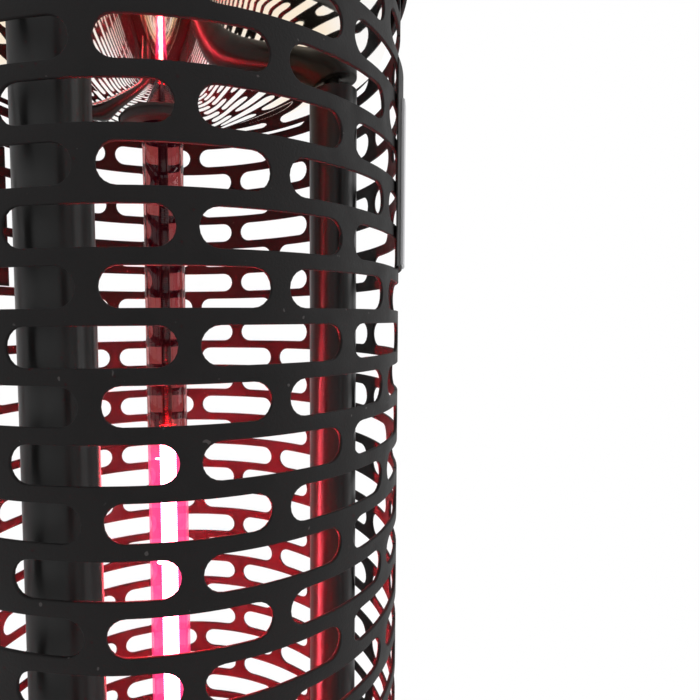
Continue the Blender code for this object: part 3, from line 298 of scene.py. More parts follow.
set_in_place("knob_body", knob, black_plastic, "knob", ["heat_knob"])


def bar_on_knob(size, middle, edge):
    """A straight bar on the knob's top, in millimetres, its edges rounded off."""
    bar = bmesh.new()
    bmesh.ops.create_cube(bar, size=1)
    bmesh.ops.scale(bar, vec=Vector(size) * MM, verts=bar.verts)
    bmesh.ops.translate(bar, vec=Vector(middle) * MM, verts=bar.verts)
    if edge:
        bmesh.ops.bevel(bar, geom=bar.edges, offset=edge * MM, segments=3, affect="EDGES")
    bmesh.ops.transform(bar, matrix=knob_stand, verts=bar.verts)
    return bar


ridge = bar_on_knob(size=(3, 13, 3.2), middle=(0, 6.5, 15), edge=0.6)
set_in_place("knob_ridge", ridge, black_plastic, "knob")
pointer_paint = textured(
    "ivory pointer paint", (0.72, 0.70, 0.64), 0.5, grain=2500, depth=0.01, tone=0.06
)
line = bar_on_knob(size=(0.9, 8, 0.12), middle=(0, 8, 16.6), edge=0)
set_in_place("knob_line", line, pointer_paint, "knob")
dress(["rotary_switch"], black_plastic)
dress(["switch_spindle"], zinc)


# Tip-over switch: a white moulded case on the plate, whose plunger the floor
# pushes in when the heater stands. The terminal block is moulded in the same
# white, and the thermal cut-out is a small plated can.
white_plastic = textured(
    "white switch plastic", (0.74, 0.73, 0.69), 0.48, grain=1800, depth=0.02, tone=0.05
)
dress(["tip_over_switch", "tip_over_plunger", "terminal_block"], white_plastic)
dress(["thermal_cutout"], zinc)


# Deck of pressed steel that closes the base below the lamp, with an upright
# rim outside the guard, and the shallow polished dish that lies on it.
deck_outline = [(6, 54.3), (82.3, 54.3), (82.3, 62.8), (80.8, 62.8), (80.8, 55.8), (6, 55.8)]
deck = turned(eased(deck_outline, 0.7), 144)
set_in_place("deck_plate", deck, powder_coat, stands_for=["lamp_deck"])


def spun_metal(name, colour, roughness, rings, depth, ripple):
    """Sheet polished as it spins: faint rings, slight waves, and a band that heat turned straw."""
    made = textured(name, colour, roughness, metallic=1.0, grain=160, depth=ripple, tone=0.03)
    links = made.node_tree.links
    shader = made.node_tree.nodes["Principled BSDF"]
    place = added(made, "ShaderNodeTexCoord")
    flat = added(made, "ShaderNodeVectorMath", {1: (1, 1, 0)}, operation="MULTIPLY")
    reach = added(made, "ShaderNodeVectorMath", operation="LENGTH")
    lathe = added(made, "ShaderNodeTexNoise", {"Scale": rings, "Detail": 2}, noise_dimensions="1D")
    links.new(place.outputs["Object"], flat.inputs[0])
    links.new(flat.outputs["Vector"], reach.inputs[0])
    links.new(reach.outputs["Value"], lathe.inputs["W"])
    straw_from, straw_to = 34 * MM, 66 * MM
    heat = added(made, "ShaderNodeMapRange", {"From Min": straw_from, "From Max": straw_to})
    links.new(reach.outputs["Value"], heat.inputs["Value"])
    straw_colour = (1.0, 0.87, 0.70, 1)
    tempered = added(made, "ShaderNodeValToRGB")
    tempered.color_ramp.elements[0].color = (1, 1, 1, 1)
    tempered.color_ramp.elements.new(0.4).color = straw_colour
    tempered.color_ramp.elements.new(0.75).color = straw_colour
    links.new(heat.outputs["Result"], tempered.inputs["Fac"])
    straw = added(made, "ShaderNodeMix", {"Factor": 1.0}, data_type="RGBA", blend_type="MULTIPLY")
    links.new(tempered.outputs["Color"], straw.inputs["B"])
    links.new(shader.inputs["Base Color"].links[0].from_socket, straw.inputs["A"])
    links.new(straw.outputs["Result"], shader.inputs["Base Color"])
    groove = added(made, "ShaderNodeBump", {"Distance": depth * MM})
    links.new(lathe.outputs["Fac"], groove.inputs["Height"])
    links.new(shader.inputs["Normal"].links[0].from_socket, groove.inputs["Normal"])
    links.new(groove.outputs["Normal"], shader.inputs["Normal"])
    return made


mirror_metal = spun_metal(
    "polished mirror sheet", (0.96, 0.945, 0.92), 0.03, rings=900, depth=0.0006, ripple=0.004
)
MIRROR_SHEET = 0.8
dish_under = [(14.9, 56.1), (24, 56.1), (55, 61.1)]
dish_over = [(distance, height + MIRROR_SHEET) for distance, height in reversed(dish_under)]
dish = turned(eased(dish_under + dish_over, 0.35), 144)
set_in_place("lower_dish", dish, mirror_metal, stands_for=["lower_mirror"])


# Three steel tubes carry the mirror and the cap. They are enamelled satin
# black and screwed from below, and they show as smooth dark columns.
enamel = textured(
    "satin black enamel", (0.0048, 0.0047, 0.0046), 0.4, grain=700, depth=0.0003, tone=0.12
)
enamel_shader = enamel.node_tree.nodes["Principled BSDF"]
enamel_shader.inputs["Specular IOR Level"].default_value = 0.44
enamel_shader.inputs["Anisotropic"].default_value = 1.0
enamel_shader.inputs["Anisotropic Rotation"].default_value = 0.25
POST_LOW, POST_HIGH = 56.1, 423.3
POST_BORE, POST_RADIUS = 2.8, 9.0
POST_CIRCLE = 65.6
post_outline = eased(oblong(POST_BORE, POST_RADIUS, POST_LOW, POST_HIGH), 0.6)
post_bearings = (60, 180, 300)
for number, bearing in enumerate(post_bearings, 1):
    post = stood_at(turned(post_outline, 64), bearing, POST_CIRCLE)
    solids = [f"post_{number}"]
    set_in_place(f"post_tube_{number}", post, enamel, stands_for=solids)
dress([f"post_screw_{number}" for number in range(1, 4)], zinc)


# Lamp holders of dark unglazed ceramic: sleeves that take the lamp's ends, the
# upper one hung by its flange over the mirror's hole.
ceramic = textured("dark ceramic", (0.03, 0.027, 0.026), 0.6, grain=1300, depth=0.05)
lower_holder = [(2, 56.1), (14.4, 56.1), (14.4, 82.1), (9, 82.1), (9, 60.1), (2, 60.1)]
upper_holder = [
    (2, 428.9), (14.4, 428.9), (14.4, 411.9), (20, 411.9), (20, 408.9), (14.4, 408.9),
    (14.4, 402.9), (9, 402.9), (9, 424.9), (2, 424.9),
]
for place_name, outline in (("lower", lower_holder), ("upper", upper_holder)):
    holder = turned(eased(outline, 0.8), 96)
    solids = [f"{place_name}_lamp_holder"]
    set_in_place(f"{place_name}_sleeve", holder, ceramic, stands_for=solids)


# Quartz lamp: a long drawn tube with a red tint, pressed metal caps on its ends,
# and a coiled wire held on its axis by small hooks. The wire glows over the
# lower part of the tube, and goes on dark and narrower to both caps.
TUBE_LOW, TUBE_HIGH = 63.2, 421.8
TUBE_INNER, TUBE_OUTER = 6.1, 7.1
GLOW_LOW, GLOW_HIGH = 106.0, 297.0


def quartz_glass():
    """Clear quartz, ruby above the filament; beside the filament the glass has a painted pink glow
    and a lighter painted tint.
    """
    made = bpy.data.materials.new("ruby quartz")
    made.use_nodes = True
    links = made.node_tree.links
    shader = made.node_tree.nodes["Principled BSDF"]
    shader.inputs["Transmission Weight"].default_value = 1.0
    shader.inputs["Roughness"].default_value = 0.0
    shader.inputs["IOR"].default_value = 1.02
    shader.inputs["Coat Weight"].default_value = 0.5
    shader.inputs["Coat Roughness"].default_value = 0.02
    shader.inputs["Coat IOR"].default_value = 1.46
    shader.inputs["Emission Color"].default_value = (1.0, 0.07, 0.26, 1)
    place = added(made, "ShaderNodeTexCoord")
    parts = added(made, "ShaderNodeSeparateXYZ")
    links.new(place.outputs["Object"], parts.inputs["Vector"])
    fade_below, fade_above = 9, 1
    glow_end = {
        "From Min": (GLOW_HIGH - fade_below) * MM, "From Max": (GLOW_HIGH + fade_above) * MM,
    }
    rise = added(made, "ShaderNodeMapRange", glow_end)
    links.new(parts.outputs["Z"], rise.inputs["Value"])
    # The tint is lighter and pinker beside the filament, a painted glow, and darker ruby above it.
    glow_and_ruby_tint = added(made, "ShaderNodeValToRGB")
    glow_and_ruby_tint.color_ramp.elements[0].color = (0.76, 0.25, 0.34, 1)
    glow_and_ruby_tint.color_ramp.elements[1].color = (0.56, 0.23, 0.22, 1)
    links.new(rise.outputs["Result"], glow_and_ruby_tint.inputs["Fac"])
    streaks = added(made, "ShaderNodeTexNoise", {"Scale": 300})
    drawn = added(made, "ShaderNodeMapping", {"Scale": (1, 1, 0.01)})
    links.new(place.outputs["Object"], drawn.inputs["Vector"])
    links.new(drawn.outputs["Vector"], streaks.inputs["Vector"])
    streak_share = {"Factor": 0.35}
    blend = added(made, "ShaderNodeMix", streak_share, data_type="RGBA", blend_type="MULTIPLY")
    links.new(glow_and_ruby_tint.outputs["Color"], blend.inputs["A"])
    links.new(streaks.outputs["Color"], blend.inputs["B"])
    links.new(blend.outputs["Result"], shader.inputs["Base Color"])
    # The glass itself emits pink beside the filament: a painted glow.
    painted_glow = added(made, "ShaderNodeMapRange", {**glow_end, "To Min": 0.55, "To Max": 0.004})
    links.new(parts.outputs["Z"], painted_glow.inputs["Value"])
    links.new(painted_glow.outputs["Result"], shader.inputs["Emission Strength"])
    return made


tube = turned(eased(oblong(TUBE_INNER, TUBE_OUTER, TUBE_LOW, TUBE_HIGH), 0.3, 2), 64)
tube_piece = set_in_place("lamp_tube", tube, quartz_glass(), stands_for=["quartz_tube"])
tube_piece.visible_shadow = False


def glowing_wire():
    """White hot where the eye meets it, pink in a shine of it, and what it lights turns red."""
    made = bpy.data.materials.new("glowing filament")
    made.use_nodes = True
    links = made.node_tree.links
    shader = made.node_tree.nodes["Principled BSDF"]
    shader.inputs["Base Color"].default_value = (0.2, 0.05, 0.05, 1)
    shader.inputs["Emission Strength"].default_value = 440
    ray = added(made, "ShaderNodeLightPath")
    met = added(made, "ShaderNodeMath", operation="MAXIMUM")
    links.new(ray.outputs["Is Camera Ray"], met.inputs[0])
    links.new(ray.outputs["Is Transmission Ray"], met.inputs[1])
    unspread = added(made, "ShaderNodeMath", operation="SUBTRACT", use_clamp=True)
    links.new(met.outputs["Value"], unspread.inputs[0])
    links.new(ray.outputs["Diffuse Depth"], unspread.inputs[1])
    white_hot, shine_pink = (1.0, 0.8, 0.9, 1), (1.0, 0.42, 0.40, 1)
    glow_red = (1.0, 0.006, 0.02, 1)
    shine = added(made, "ShaderNodeMix", {"A": white_hot, "B": shine_pink}, data_type="RGBA")
    links.new(ray.outputs["Glossy Depth"], shine.inputs["Factor"])
    heat = added(made, "ShaderNodeMix", {"A": glow_red}, data_type="RGBA")
    links.new(shine.outputs["Result"], heat.inputs["B"])
    links.new(unspread.outputs["Value"], heat.inputs["Factor"])
    links.new(heat.outputs["Result"], shader.inputs["Emission Color"])
    return made


def joined(mesh, rings):
    """Closes a piece along rings of points, each ring with the next, and over both ends."""
    for first, second in zip(rings, rings[1:]):
        for index in range(len(first)):
            after = (index + 1) % len(first)
            mesh.faces.new((first[index], first[after], second[after], second[index]))
    bmesh.ops.holes_fill(mesh, edges=mesh.edges)
    bmesh.ops.recalc_face_normals(mesh, faces=mesh.faces)
    return mesh


def wire_ring(mesh, bearing, reach, height, wire_radius, sides):
    """The points round a wire where it passes a place."""
    ring = []
    for side in range(sides):
        lean = 2 * math.pi * side / sides
        across, rise = wire_radius * math.cos(lean), wire_radius * math.sin(lean)
        ring.append(mesh.verts.new(at(bearing, reach + across, height + rise)))
    return ring


TURN_STEPS = 8
TURN_CLIMB = 1.7


def wound(low, high, coil_radius, wire_radius):
    """A tight coil of round wire about the axis; each turn climbs by 1.7 of the wire's radius."""
    coil = bmesh.new()
    steps = round((high - low) / (TURN_CLIMB * wire_radius) * TURN_STEPS)
    rings = []
    for step in range(steps + 1):
        bearing = 360 * step / TURN_STEPS
        height = low + (high - low) * step / steps
        rings.append(wire_ring(coil, bearing, coil_radius, height, wire_radius, sides=5))
    return joined(coil, rings)


hot_wire = glowing_wire()
filament = wound(GLOW_LOW, GLOW_HIGH, coil_radius=2.5, wire_radius=0.5)
set_in_place("filament_coil", filament, hot_wire, stands_for=["filament"])

dark_wire = textured(
    "dull lamp wire", (0.10, 0.09, 0.09), 0.4, metallic=1.0, grain=1500, depth=0.01
)
TAIL_GAP = 1.6
tail_ends = {"lower": (64.0, GLOW_LOW - TAIL_GAP), "upper": (GLOW_HIGH + TAIL_GAP, 421.0)}
for place_name, (low, high) in tail_ends.items():
    tail = wound(low, high, coil_radius=1.4, wire_radius=0.4)
    solids = [f"{place_name}_lamp_wire"]
    set_in_place(f"{place_name}_coil_tail", tail, dark_wire, stands_for=solids)

HOOKS = 5
HOOK_STEPS = 20
HOOK_WIRE = 0.35
HOOK_BEARING, HOOK_SWEEP = 195, 115
HOOK_REACH, HOOK_SPREAD, HOOK_RISE = 3.3, 2.4, 2.5
FIRST_HOOK = 0.7
for index in range(HOOKS):
    level = GLOW_LOW + (GLOW_HIGH - GLOW_LOW) * (index + FIRST_HOOK) / HOOKS
    hook = bmesh.new()
    rings = []
    for step in range(HOOK_STEPS + 1):
        share = step / HOOK_STEPS
        bearing = HOOK_BEARING + HOOK_SWEEP * share
        reach = HOOK_REACH + HOOK_SPREAD * share
        height = level + HOOK_RISE * share
        rings.append(wire_ring(hook, bearing, reach, height, HOOK_WIRE, sides=6))
    set_in_place(f"coil_hook_{index + 1}", joined(hook, rings), hot_wire)

cap_outlines = {
    "lower": [(1.4, 60.4), (8.4, 60.4), (8.4, 74.4), (7.4, 74.4), (7.4, 62.9), (1.4, 62.9)],
    "upper": [(1.4, 424.6), (8.4, 424.6), (8.4, 410.6), (7.4, 410.6), (7.4, 422.1), (1.4, 422.1)],
}
for place_name, outline in cap_outlines.items():
    end_cap = turned(eased(outline, 0.3), 64)
    solids = [f"{place_name}_lamp_cap"]
    set_in_place(f"{place_name}_end_cap", end_cap, zinc, stands_for=solids)
glass_sleeve = textured("glass-fibre sleeve", (0.60, 0.58, 0.52), 0.8, grain=2600, depth=0.15)
dress(["lower_lead", "upper_lead"], glass_sleeve, edge=0.05)


# Upper mirror spun from bright sheet: a bowl that bulges down round the lamp
# and flattens to a flange that lies over the posts.
FLANGE_LEVEL = 425.42
BOWL_DEPTH = 20.4
BOWL_EASE = 15.6
BOWL_INNER, BOWL_OUTER = 9.0, 68.0
BOWL_HOLE, FLANGE_EDGE = 15.0, 76.2
BOWL_STEPS = 64


def bowl_height(distance):
    """Height of the mirror's polished underside at a distance from the axis."""
    span = BOWL_OUTER - BOWL_INNER
    slope = BOWL_DEPTH / (span - BOWL_EASE)
    left = min(max(BOWL_OUTER - distance, 0), span)
    if left < BOWL_EASE:
        drop = slope * left * left / (2 * BOWL_EASE)
    elif left < span - BOWL_EASE:
        drop = slope * (left - BOWL_EASE / 2)
    else:
        drop = BOWL_DEPTH - slope * (span - left) ** 2 / (2 * BOWL_EASE)
    return FLANGE_LEVEL - drop


bowl_under = [(FLANGE_EDGE, FLANGE_LEVEL)]
for step in range(BOWL_STEPS + 1):
    distance = BOWL_OUTER + (BOWL_HOLE - BOWL_OUTER) * step / BOWL_STEPS
    bowl_under.append((distance, bowl_height(distance)))
bowl_over = [(distance, height + MIRROR_SHEET) for distance, height in reversed(bowl_under)]
bowl = turned(bowl_under + bowl_over, 192)
set_in_place("mirror_bowl", bowl, mirror_metal, stands_for=["upper_mirror"], sharp=60)


# Guard: perforated steel sheet rolled into two half shells. Rows of long
# round-ended slots are staggered by half a slot, and every punched edge is
# softened by the thick fine-grained powder coat.
GUARD_RADIUS = 80.0
GUARD_SHEET = 1.0
GUARD_LOW = 56.1
SKIRT = 8.0
ROWS = 30
ROW_PITCH = 12.4
SLOTS_ROUND = 12
SLOT_HALF_HEIGHT = 4.35
SLOT_PITCH = 360 / SLOTS_ROUND
COLUMNS_PER_SLOT = 12
COLUMN = SLOT_PITCH / COLUMNS_PER_SLOT
WEB_WIDTH = 4.8
SEAM = 26.0
SEAM_HALF_GAP = 0.45
EASED_EDGE = 0.28
degrees_per_mm = math.degrees(1 / GUARD_RADIUS)
straight_half = SLOT_PITCH / 2 - (WEB_WIDTH / 2 + SLOT_HALF_HEIGHT) * degrees_per_mm


def slot_stations():
    """Pairs of a point on the slot's edge and the point of its cell's border that faces it.

    A slot point is (degrees from the slot's middle, angle round its end), and a border
    point is (degrees from the slot's middle, share of half a row).
    """
    half = SLOT_PITCH / 2
    end_step = 18
    border_of_end = {
        90: (4 * COLUMN, 1), 72: (4 * COLUMN, 1), 54: (5 * COLUMN, 1),
        36: (half, 1), 18: (half, 0.5), 0: (half, 0),
    }
    stations = []
    for angle in range(90, -91, -end_step):
        degrees, share = border_of_end[abs(angle)]
        stations.append(((straight_half, angle), (degrees, math.copysign(share, angle))))
    for column in range(3, -4, -1):
        stations.append(((column * COLUMN, -90), (column * COLUMN, -1)))
    for angle in range(-90, -271, -end_step):
        degrees, share = border_of_end[abs(-180 - angle)]
        up = -1 if angle > -180 else 1
        stations.append(((-straight_half, angle), (-degrees, up * share)))
    for column in range(-3, 4):
        stations.append(((column * COLUMN, 90), (column * COLUMN, 1)))
    return stations


def guard_shell():
    """The whole perforated cylinder, both faces and every slot's eased wall."""
    mesh = bmesh.new()
    made = {}
    outer, inner = GUARD_RADIUS, GUARD_RADIUS - GUARD_SHEET

    def point(bearing, distance, height):
        key = (round(bearing % 360, 3), round(distance, 3), round(height, 3))
        if key not in made:
            made[key] = mesh.verts.new(at(bearing, distance, height))
        return made[key]

    def patch(*corners):
        corners = list(dict.fromkeys(corners))
        if len(corners) > 2:
            mesh.faces.new(corners)

    stations = slot_stations()
    mid_ease = EASED_EDGE * 0.3
    wall = (
        (EASED_EDGE, outer), (mid_ease, outer - mid_ease), (0, outer - EASED_EDGE),
        (0, inner + EASED_EDGE), (mid_ease, inner + mid_ease), (EASED_EDGE, inner),
    )
    for row in range(ROWS):
        level = GUARD_LOW + SKIRT + (row + 0.5) * ROW_PITCH
        for slot in range(SLOTS_ROUND):
            middle = SEAM + (slot + 0.5 * (row % 2)) * SLOT_PITCH
            rings = []
            for grown, distance in wall:
                ring = []
                for (degrees, angle), _ in stations:
                    reach = SLOT_HALF_HEIGHT + grown
                    sideways = reach * math.cos(math.radians(angle)) * degrees_per_mm
                    upwards = reach * math.sin(math.radians(angle))
                    ring.append(point(middle + degrees + sideways, distance, level + upwards))
                rings.append(ring)
            borders = []
            for distance in (outer, inner):
                border = []
                for _, (degrees, share) in stations:
                    border.append(point(middle + degrees, distance, level + share * ROW_PITCH / 2))
                borders.append(border)
            bands = [borders[0], *rings, borders[1]]
            for first, second in zip(bands, bands[1:]):
                for index in range(len(stations)):
                    before = index - 1
                    patch(first[before], first[index], second[index], second[before])
    rim_ease = 0.3
    slots_low = GUARD_LOW + SKIRT
    slots_high = GUARD_LOW + SKIRT + ROWS * ROW_PITCH
    guard_high = GUARD_LOW + 2 * SKIRT + ROWS * ROW_PITCH
    for edge, rim, up in ((slots_low, GUARD_LOW, 1), (slots_high, guard_high, -1)):
        lip = [
            (outer, edge), (outer, rim + up * rim_ease), (outer - rim_ease, rim),
            (inner + rim_ease, rim), (inner, rim + up * rim_ease), (inner, edge),
        ]
        for column in range(SLOTS_ROUND * COLUMNS_PER_SLOT):
            left = SEAM + column * COLUMN
            right = left + COLUMN
            for (near, low), (far, high) in zip(lip, lip[1:]):
                start, end = point(left, near, low), point(right, near, low)
                patch(start, end, point(right, far, high), point(left, far, high))
    bmesh.ops.recalc_face_normals(mesh, faces=mesh.faces)
    return mesh


def cut_to_half(mesh, side):
    """Keeps the half on one side of the seam and closes the cut webs."""
    across = at(SEAM + 90 * side, 1, 0).normalized()
    cut = across * SEAM_HALF_GAP * MM
    geometry = [*mesh.verts, *mesh.edges, *mesh.faces]
    bmesh.ops.bisect_plane(mesh, geom=geometry, plane_co=cut, plane_no=across, clear_inner=True)
    open_edges = [edge for edge in mesh.edges if edge.is_boundary]
    bmesh.ops.holes_fill(mesh, edges=open_edges, sides=0)
    return mesh


for side, name in ((1, "right"), (-1, "left")):
    half = cut_to_half(guard_shell(), side)
    shell = set_in_place(
        f"guard_shell_{name}", half, powder_coat,
        stands_for=[f"guard_half_{name}"], sharp=70,
    )
    shell.modifiers.new("Even shading", "WEIGHTED_NORMAL").keep_sharp = True


# Steel plates bent over the guard's two seams and coated like the guard, each
# with a bare brushed strip welded along it that catches the light.
SEAM_COVER_WIDTH, SEAM_COVER_HEIGHT = 26.0, 58.0
SEAM_COVER_INSIDE, SEAM_COVER_OUTSIDE = 80.6, 81.0
STRIP_WIDTH, STRIP_LOW, STRIP_HIGH = 14.0, 0.6, 49.0
STRIP_OUTSIDE = 81.8


def bent_strip(bearing, width, inside, outside, low, high):
    """A strip of sheet bent round the guard, with all its edges broken."""
    strip = bmesh.new()
    columns = 16
    edge_share = 0.3
    half_angle = math.degrees(width / inside / 2)
    rings = []
    for step in range(columns + 1):
        turn = bearing + half_angle * (2 * step / columns - 1)
        corners = [at(turn, *corner) for corner in oblong(inside, outside, low, high)]
        rings.append([strip.verts.new(corner) for corner in corners])
    joined(strip, rings)
    sharp_edges = [edge for edge in strip.edges if edge.calc_face_angle(0) > math.radians(40)]
    ease = (outside - inside) * edge_share * MM
    bmesh.ops.bevel(strip, geom=sharp_edges, offset=ease, segments=2, affect="EDGES")
    return strip


strip_steel = textured(
    "bare brushed strip", (0.45, 0.45, 0.46), 0.42,
    metallic=1.0, grain=1800, depth=0.02, stretch=(1, 1, 0.03),
)
for side, bearing in (("right", SEAM), ("left", SEAM + 180)):
    for level, low in (("lower", 90.1), ("upper", 351.6)):
        cover_plate = bent_strip(
            bearing, SEAM_COVER_WIDTH, SEAM_COVER_INSIDE, SEAM_COVER_OUTSIDE,
            low, low + SEAM_COVER_HEIGHT,
        )
        set_in_place(
            f"seam_cover_{side}_{level}", cover_plate, powder_coat,
            stands_for=[f"seam_plate_{side}_{level}"],
        )
        strip = bent_strip(
            bearing, STRIP_WIDTH, SEAM_COVER_OUTSIDE, STRIP_OUTSIDE,
            low + STRIP_LOW, low + STRIP_HIGH,
        )
        set_in_place(f"bare_strip_{side}_{level}", strip, strip_steel)


# Cap pressed from steel sheet, with a rim that drops outside the guard. It
# stands on three pillars and is held by three low black screws.
cap_outline = [
    (0, 444.4), (80.8, 444.4), (80.8, 436.9),
    (82.3, 436.9), (82.3, 444.7), (81.1, 445.9), (0, 445.9),
]
cap = turned(eased(cap_outline, 0.6), 192)
set_in_place("cap_pan", cap, powder_coat, stands_for=["top_cap"])
dress([f"cap_pillar_{number}" for number in range(1, 4)], zinc)

head_outline = [
    (0, 437), (2, 437), (2, 446.2), (4.5, 446.2), (4.3, 447.6), (2.6, 448.8), (0, 448.8),
]
for number, bearing in enumerate(post_bearings, 1):
    screw = stood_at(turned(eased(head_outline, 0.5), 48), bearing, POST_CIRCLE)
    solids = [f"cap_screw_{number}"]
    set_in_place(f"cap_bolt_{number}", screw, enamel, stands_for=solids)


# Carrying handle: a bent steel rod hinged in two folded brackets that are
# riveted to the cap, with a rubber grip over its middle.
PIVOT = 454.4
REACH = 46.0
ROD_RADIUS = 4.0
ROD_SIDES = 24
ROD_BEND = 8
ROD_SPAN, ROD_STUB = 62, 45
BEND_STEPS = 10
END_EASE = 0.8
rod_plan = [
    (ROD_STUB, 0), (ROD_SPAN, 0), (ROD_SPAN, REACH),
    (-ROD_SPAN, REACH), (-ROD_SPAN, 0), (-ROD_STUB, 0),
]
rod_corners = [Vector((*corner, 0)) for corner in rod_plan]
rod_route = [rod_corners[0]]
for before, corner, after in zip(rod_corners, rod_corners[1:], rod_corners[2:]):
    rod_route += rounded_corner(before, corner, after, ROD_BEND, BEND_STEPS)
rod_route.append(rod_corners[-1])
rod = bmesh.new()
rod_rings = []
rod_end = len(rod_route) - 1
for index, spot in enumerate(rod_route):
    ahead = rod_route[min(index + 1, rod_end)] - rod_route[max(index - 1, 0)]
    sideways = Vector((-ahead.y, ahead.x, 0)).normalized()
    thicknesses = {0: (END_EASE, 1), rod_end: (1, END_EASE)}.get(index, (1,))
    for thickness in thicknesses:
        ring = []
        for side in range(ROD_SIDES):
            lean = 2 * math.pi * side / ROD_SIDES
            offset = sideways * math.cos(lean) + Vector((0, 0, math.sin(lean)))
            place = spot + offset * ROD_RADIUS * thickness + Vector((0, 0, PIVOT))
            ring.append(rod.verts.new(place * MM))
        rod_rings.append(ring)
set_in_place("carry_rod", joined(rod, rod_rings), enamel, "handle", ["handle_rod"])

GRIP_HALF = 36.0
GRIP_BORE, GRIP_RADIUS = 4.3, 7.6
GRIP_RIBS, RIB_STEPS, RIB_HEIGHT = 15, 8, 0.35
GRIP_END, END_SLOPE = 1.6, 0.7
grip_side = []
for index in range(GRIP_RIBS * RIB_STEPS + 1):
    along = index / (GRIP_RIBS * RIB_STEPS)
    rib = RIB_HEIGHT * abs(math.sin(math.pi * GRIP_RIBS * along))
    from_end = min(along, 1 - along) * 2 * GRIP_HALF
    distance = GRIP_RADIUS + rib - max(0, GRIP_END - from_end) * END_SLOPE
    grip_side.append((distance, GRIP_HALF * (2 * along - 1)))
grip = turned([(GRIP_BORE, -GRIP_HALF), *grip_side, (GRIP_BORE, GRIP_HALF)], 48)
grip_middle = Matrix.Translation(Vector((0, REACH, PIVOT)) * MM)
grip_turn = grip_middle @ Matrix.Rotation(math.radians(90), 4, "Y")
bmesh.ops.transform(grip, matrix=grip_turn, verts=grip.verts)
set_in_place("ribbed_grip", grip, black_rubber, "handle", ["handle_grip"])

dress(["handle_bracket_right", "handle_bracket_left"], powder_coat, edge=0.6)
dress(["bracket_rivet_right", "bracket_rivet_left"], zinc)


# Pale paper floor that fades into the white of the room, an even white room
# light, and one broad lamp to the right of the camera.
FLOOR_RADIUS = 6
FADE_START, FADE_END = 0.135, 0.24
floor_mesh = bmesh.new()
bmesh.ops.create_circle(floor_mesh, cap_ends=True, segments=96, radius=FLOOR_RADIUS)
floor_sheet = bpy.data.meshes.new("studio_floor")
floor_mesh.to_mesh(floor_sheet)
floor_mesh.free()
floor = bpy.data.objects.new("studio_floor", floor_sheet)
bpy.context.collection.objects.link(floor)


def met_by_eye(owner):
    """1 for a ray from the camera, off a shine or through glass, and 0 for any other."""
    ray = added(owner, "ShaderNodeLightPath")
    met = ray.outputs["Is Camera Ray"]
    for kind in ("Is Glossy Ray", "Is Transmission Ray"):
        either = added(owner, "ShaderNodeMath", operation="MAXIMUM")
        owner.node_tree.links.new(met, either.inputs[0])
        owner.node_tree.links.new(ray.outputs[kind], either.inputs[1])
        met = either.outputs["Value"]
    return met


paper = bpy.data.materials.new("white paper floor")
paper.use_nodes = True
paper_links = paper.node_tree.links
paper_shader = paper.node_tree.nodes["Principled BSDF"]
paper_shader.inputs["Base Color"].default_value = (0.86, 0.86, 0.86, 1)
paper_shader.inputs["Roughness"].default_value = 0.9
paper_shader.inputs["Specular IOR Level"].default_value = 0.1
white = added(paper, "ShaderNodeEmission", {"Strength": 1.0})
spot = added(paper, "ShaderNodeTexCoord")
far = added(paper, "ShaderNodeVectorMath", operation="LENGTH")
fade_range = {"From Min": FADE_START, "From Max": FADE_END}
fade = added(paper, "ShaderNodeMapRange", fade_range, interpolation_type="SMOOTHSTEP")
white_share = added(paper, "ShaderNodeMath", operation="MULTIPLY")
join = added(paper, "ShaderNodeMixShader")
paper_links.new(spot.outputs["Object"], far.inputs[0])
paper_links.new(far.outputs["Value"], fade.inputs["Value"])
paper_links.new(met_by_eye(paper), white_share.inputs[0])
paper_links.new(fade.outputs["Result"], white_share.inputs[1])
paper_links.new(white_share.outputs["Value"], join.inputs["Fac"])
paper_links.new(paper_shader.outputs["BSDF"], join.inputs[1])
paper_links.new(white.outputs["Emission"], join.inputs[2])
paper_links.new(join.outputs["Shader"], paper.node_tree.nodes["Material Output"].inputs["Surface"])
floor_sheet.materials.append(paper)

room = bpy.data.worlds.new("white room")
bpy.context.scene.world = room
room.use_nodes = True
room_wall = room.node_tree.nodes["Background"]
room_wall.inputs["Color"].default_value = (1, 1, 1, 1)
room_level = added(room, "ShaderNodeMapRange", {"To Min": 0.6, "To Max": 1.0})
room.node_tree.links.new(met_by_eye(room), room_level.inputs["Value"])
room.node_tree.links.new(room_level.outputs["Result"], room_wall.inputs["Strength"])

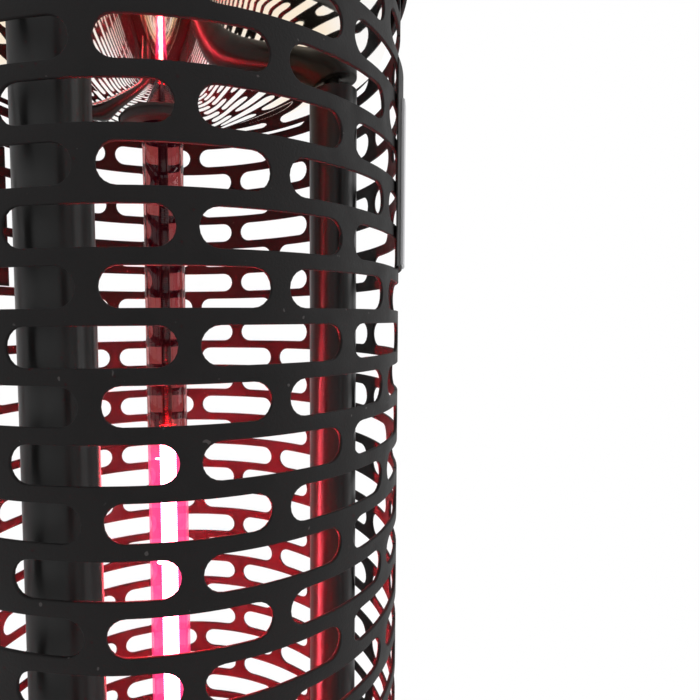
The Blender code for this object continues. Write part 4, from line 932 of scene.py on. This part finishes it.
softbox = bpy.data.lights.new("softbox", "AREA")
softbox.shape = "RECTANGLE"
softbox.size = 0.9
softbox.size_y = 1.8
softbox.energy = 12
softbox_object = bpy.data.objects.new("softbox", softbox)
bpy.context.collection.objects.link(softbox_object)
softbox_object.location = (1.41, -1.68, 0.7)
softbox_aim = Vector((0, 0, 0.25)) - softbox_object.location
softbox_object.rotation_euler = softbox_aim.to_track_quat("-Z", "Y").to_euler()


# Camera close to the guard at the lamp's middle height, turned a little to the
# right of the tower, as the photograph was taken.
FOCAL_PIXELS = 517.8
FRAME_PIXELS = 700
CENTRE_ACROSS, CENTRE_DOWN = 250.1, 351.4
CAMERA_DISTANCE, CAMERA_HEIGHT = 188.2, 335.78
camera_bearing = math.radians(-37.5)
yaw, pitch, roll = 0.1608, 0.05773, 0.007785
camera_sheet = bpy.data.cameras.new("camera")
camera_sheet.sensor_width = 36
camera_sheet.lens = camera_sheet.sensor_width * FOCAL_PIXELS / FRAME_PIXELS
camera_sheet.shift_x = (FRAME_PIXELS / 2 - CENTRE_ACROSS) / FRAME_PIXELS
camera_sheet.shift_y = (CENTRE_DOWN - FRAME_PIXELS / 2) / FRAME_PIXELS
camera_sheet.clip_start = 0.005
camera = bpy.data.objects.new("camera", camera_sheet)
bpy.context.collection.objects.link(camera)
level_right = Vector((math.cos(yaw), -math.sin(yaw), 0))
level_ahead = Vector((math.sin(yaw), math.cos(yaw), 0))
upright = Vector((0, 0, 1))
ahead = level_ahead * math.cos(pitch) - upright * math.sin(pitch)
tipped_up = level_ahead * math.sin(pitch) + upright * math.cos(pitch)
right = level_right * math.cos(roll) - tipped_up * math.sin(roll)
up = level_right * math.sin(roll) + tipped_up * math.cos(roll)
camera_turn = Matrix((right, up, -ahead)).transposed().to_4x4()
camera_turn.translation = Vector((0, -CAMERA_DISTANCE * MM, 0))
camera_level = Matrix.Translation((0, 0, CAMERA_HEIGHT * MM))
camera_stand = camera_level @ Matrix.Rotation(camera_bearing, 4, "Z")
camera.matrix_world = camera_stand @ camera_turn
bpy.context.scene.camera = camera
bpy.context.scene.view_settings.view_transform = "Standard"
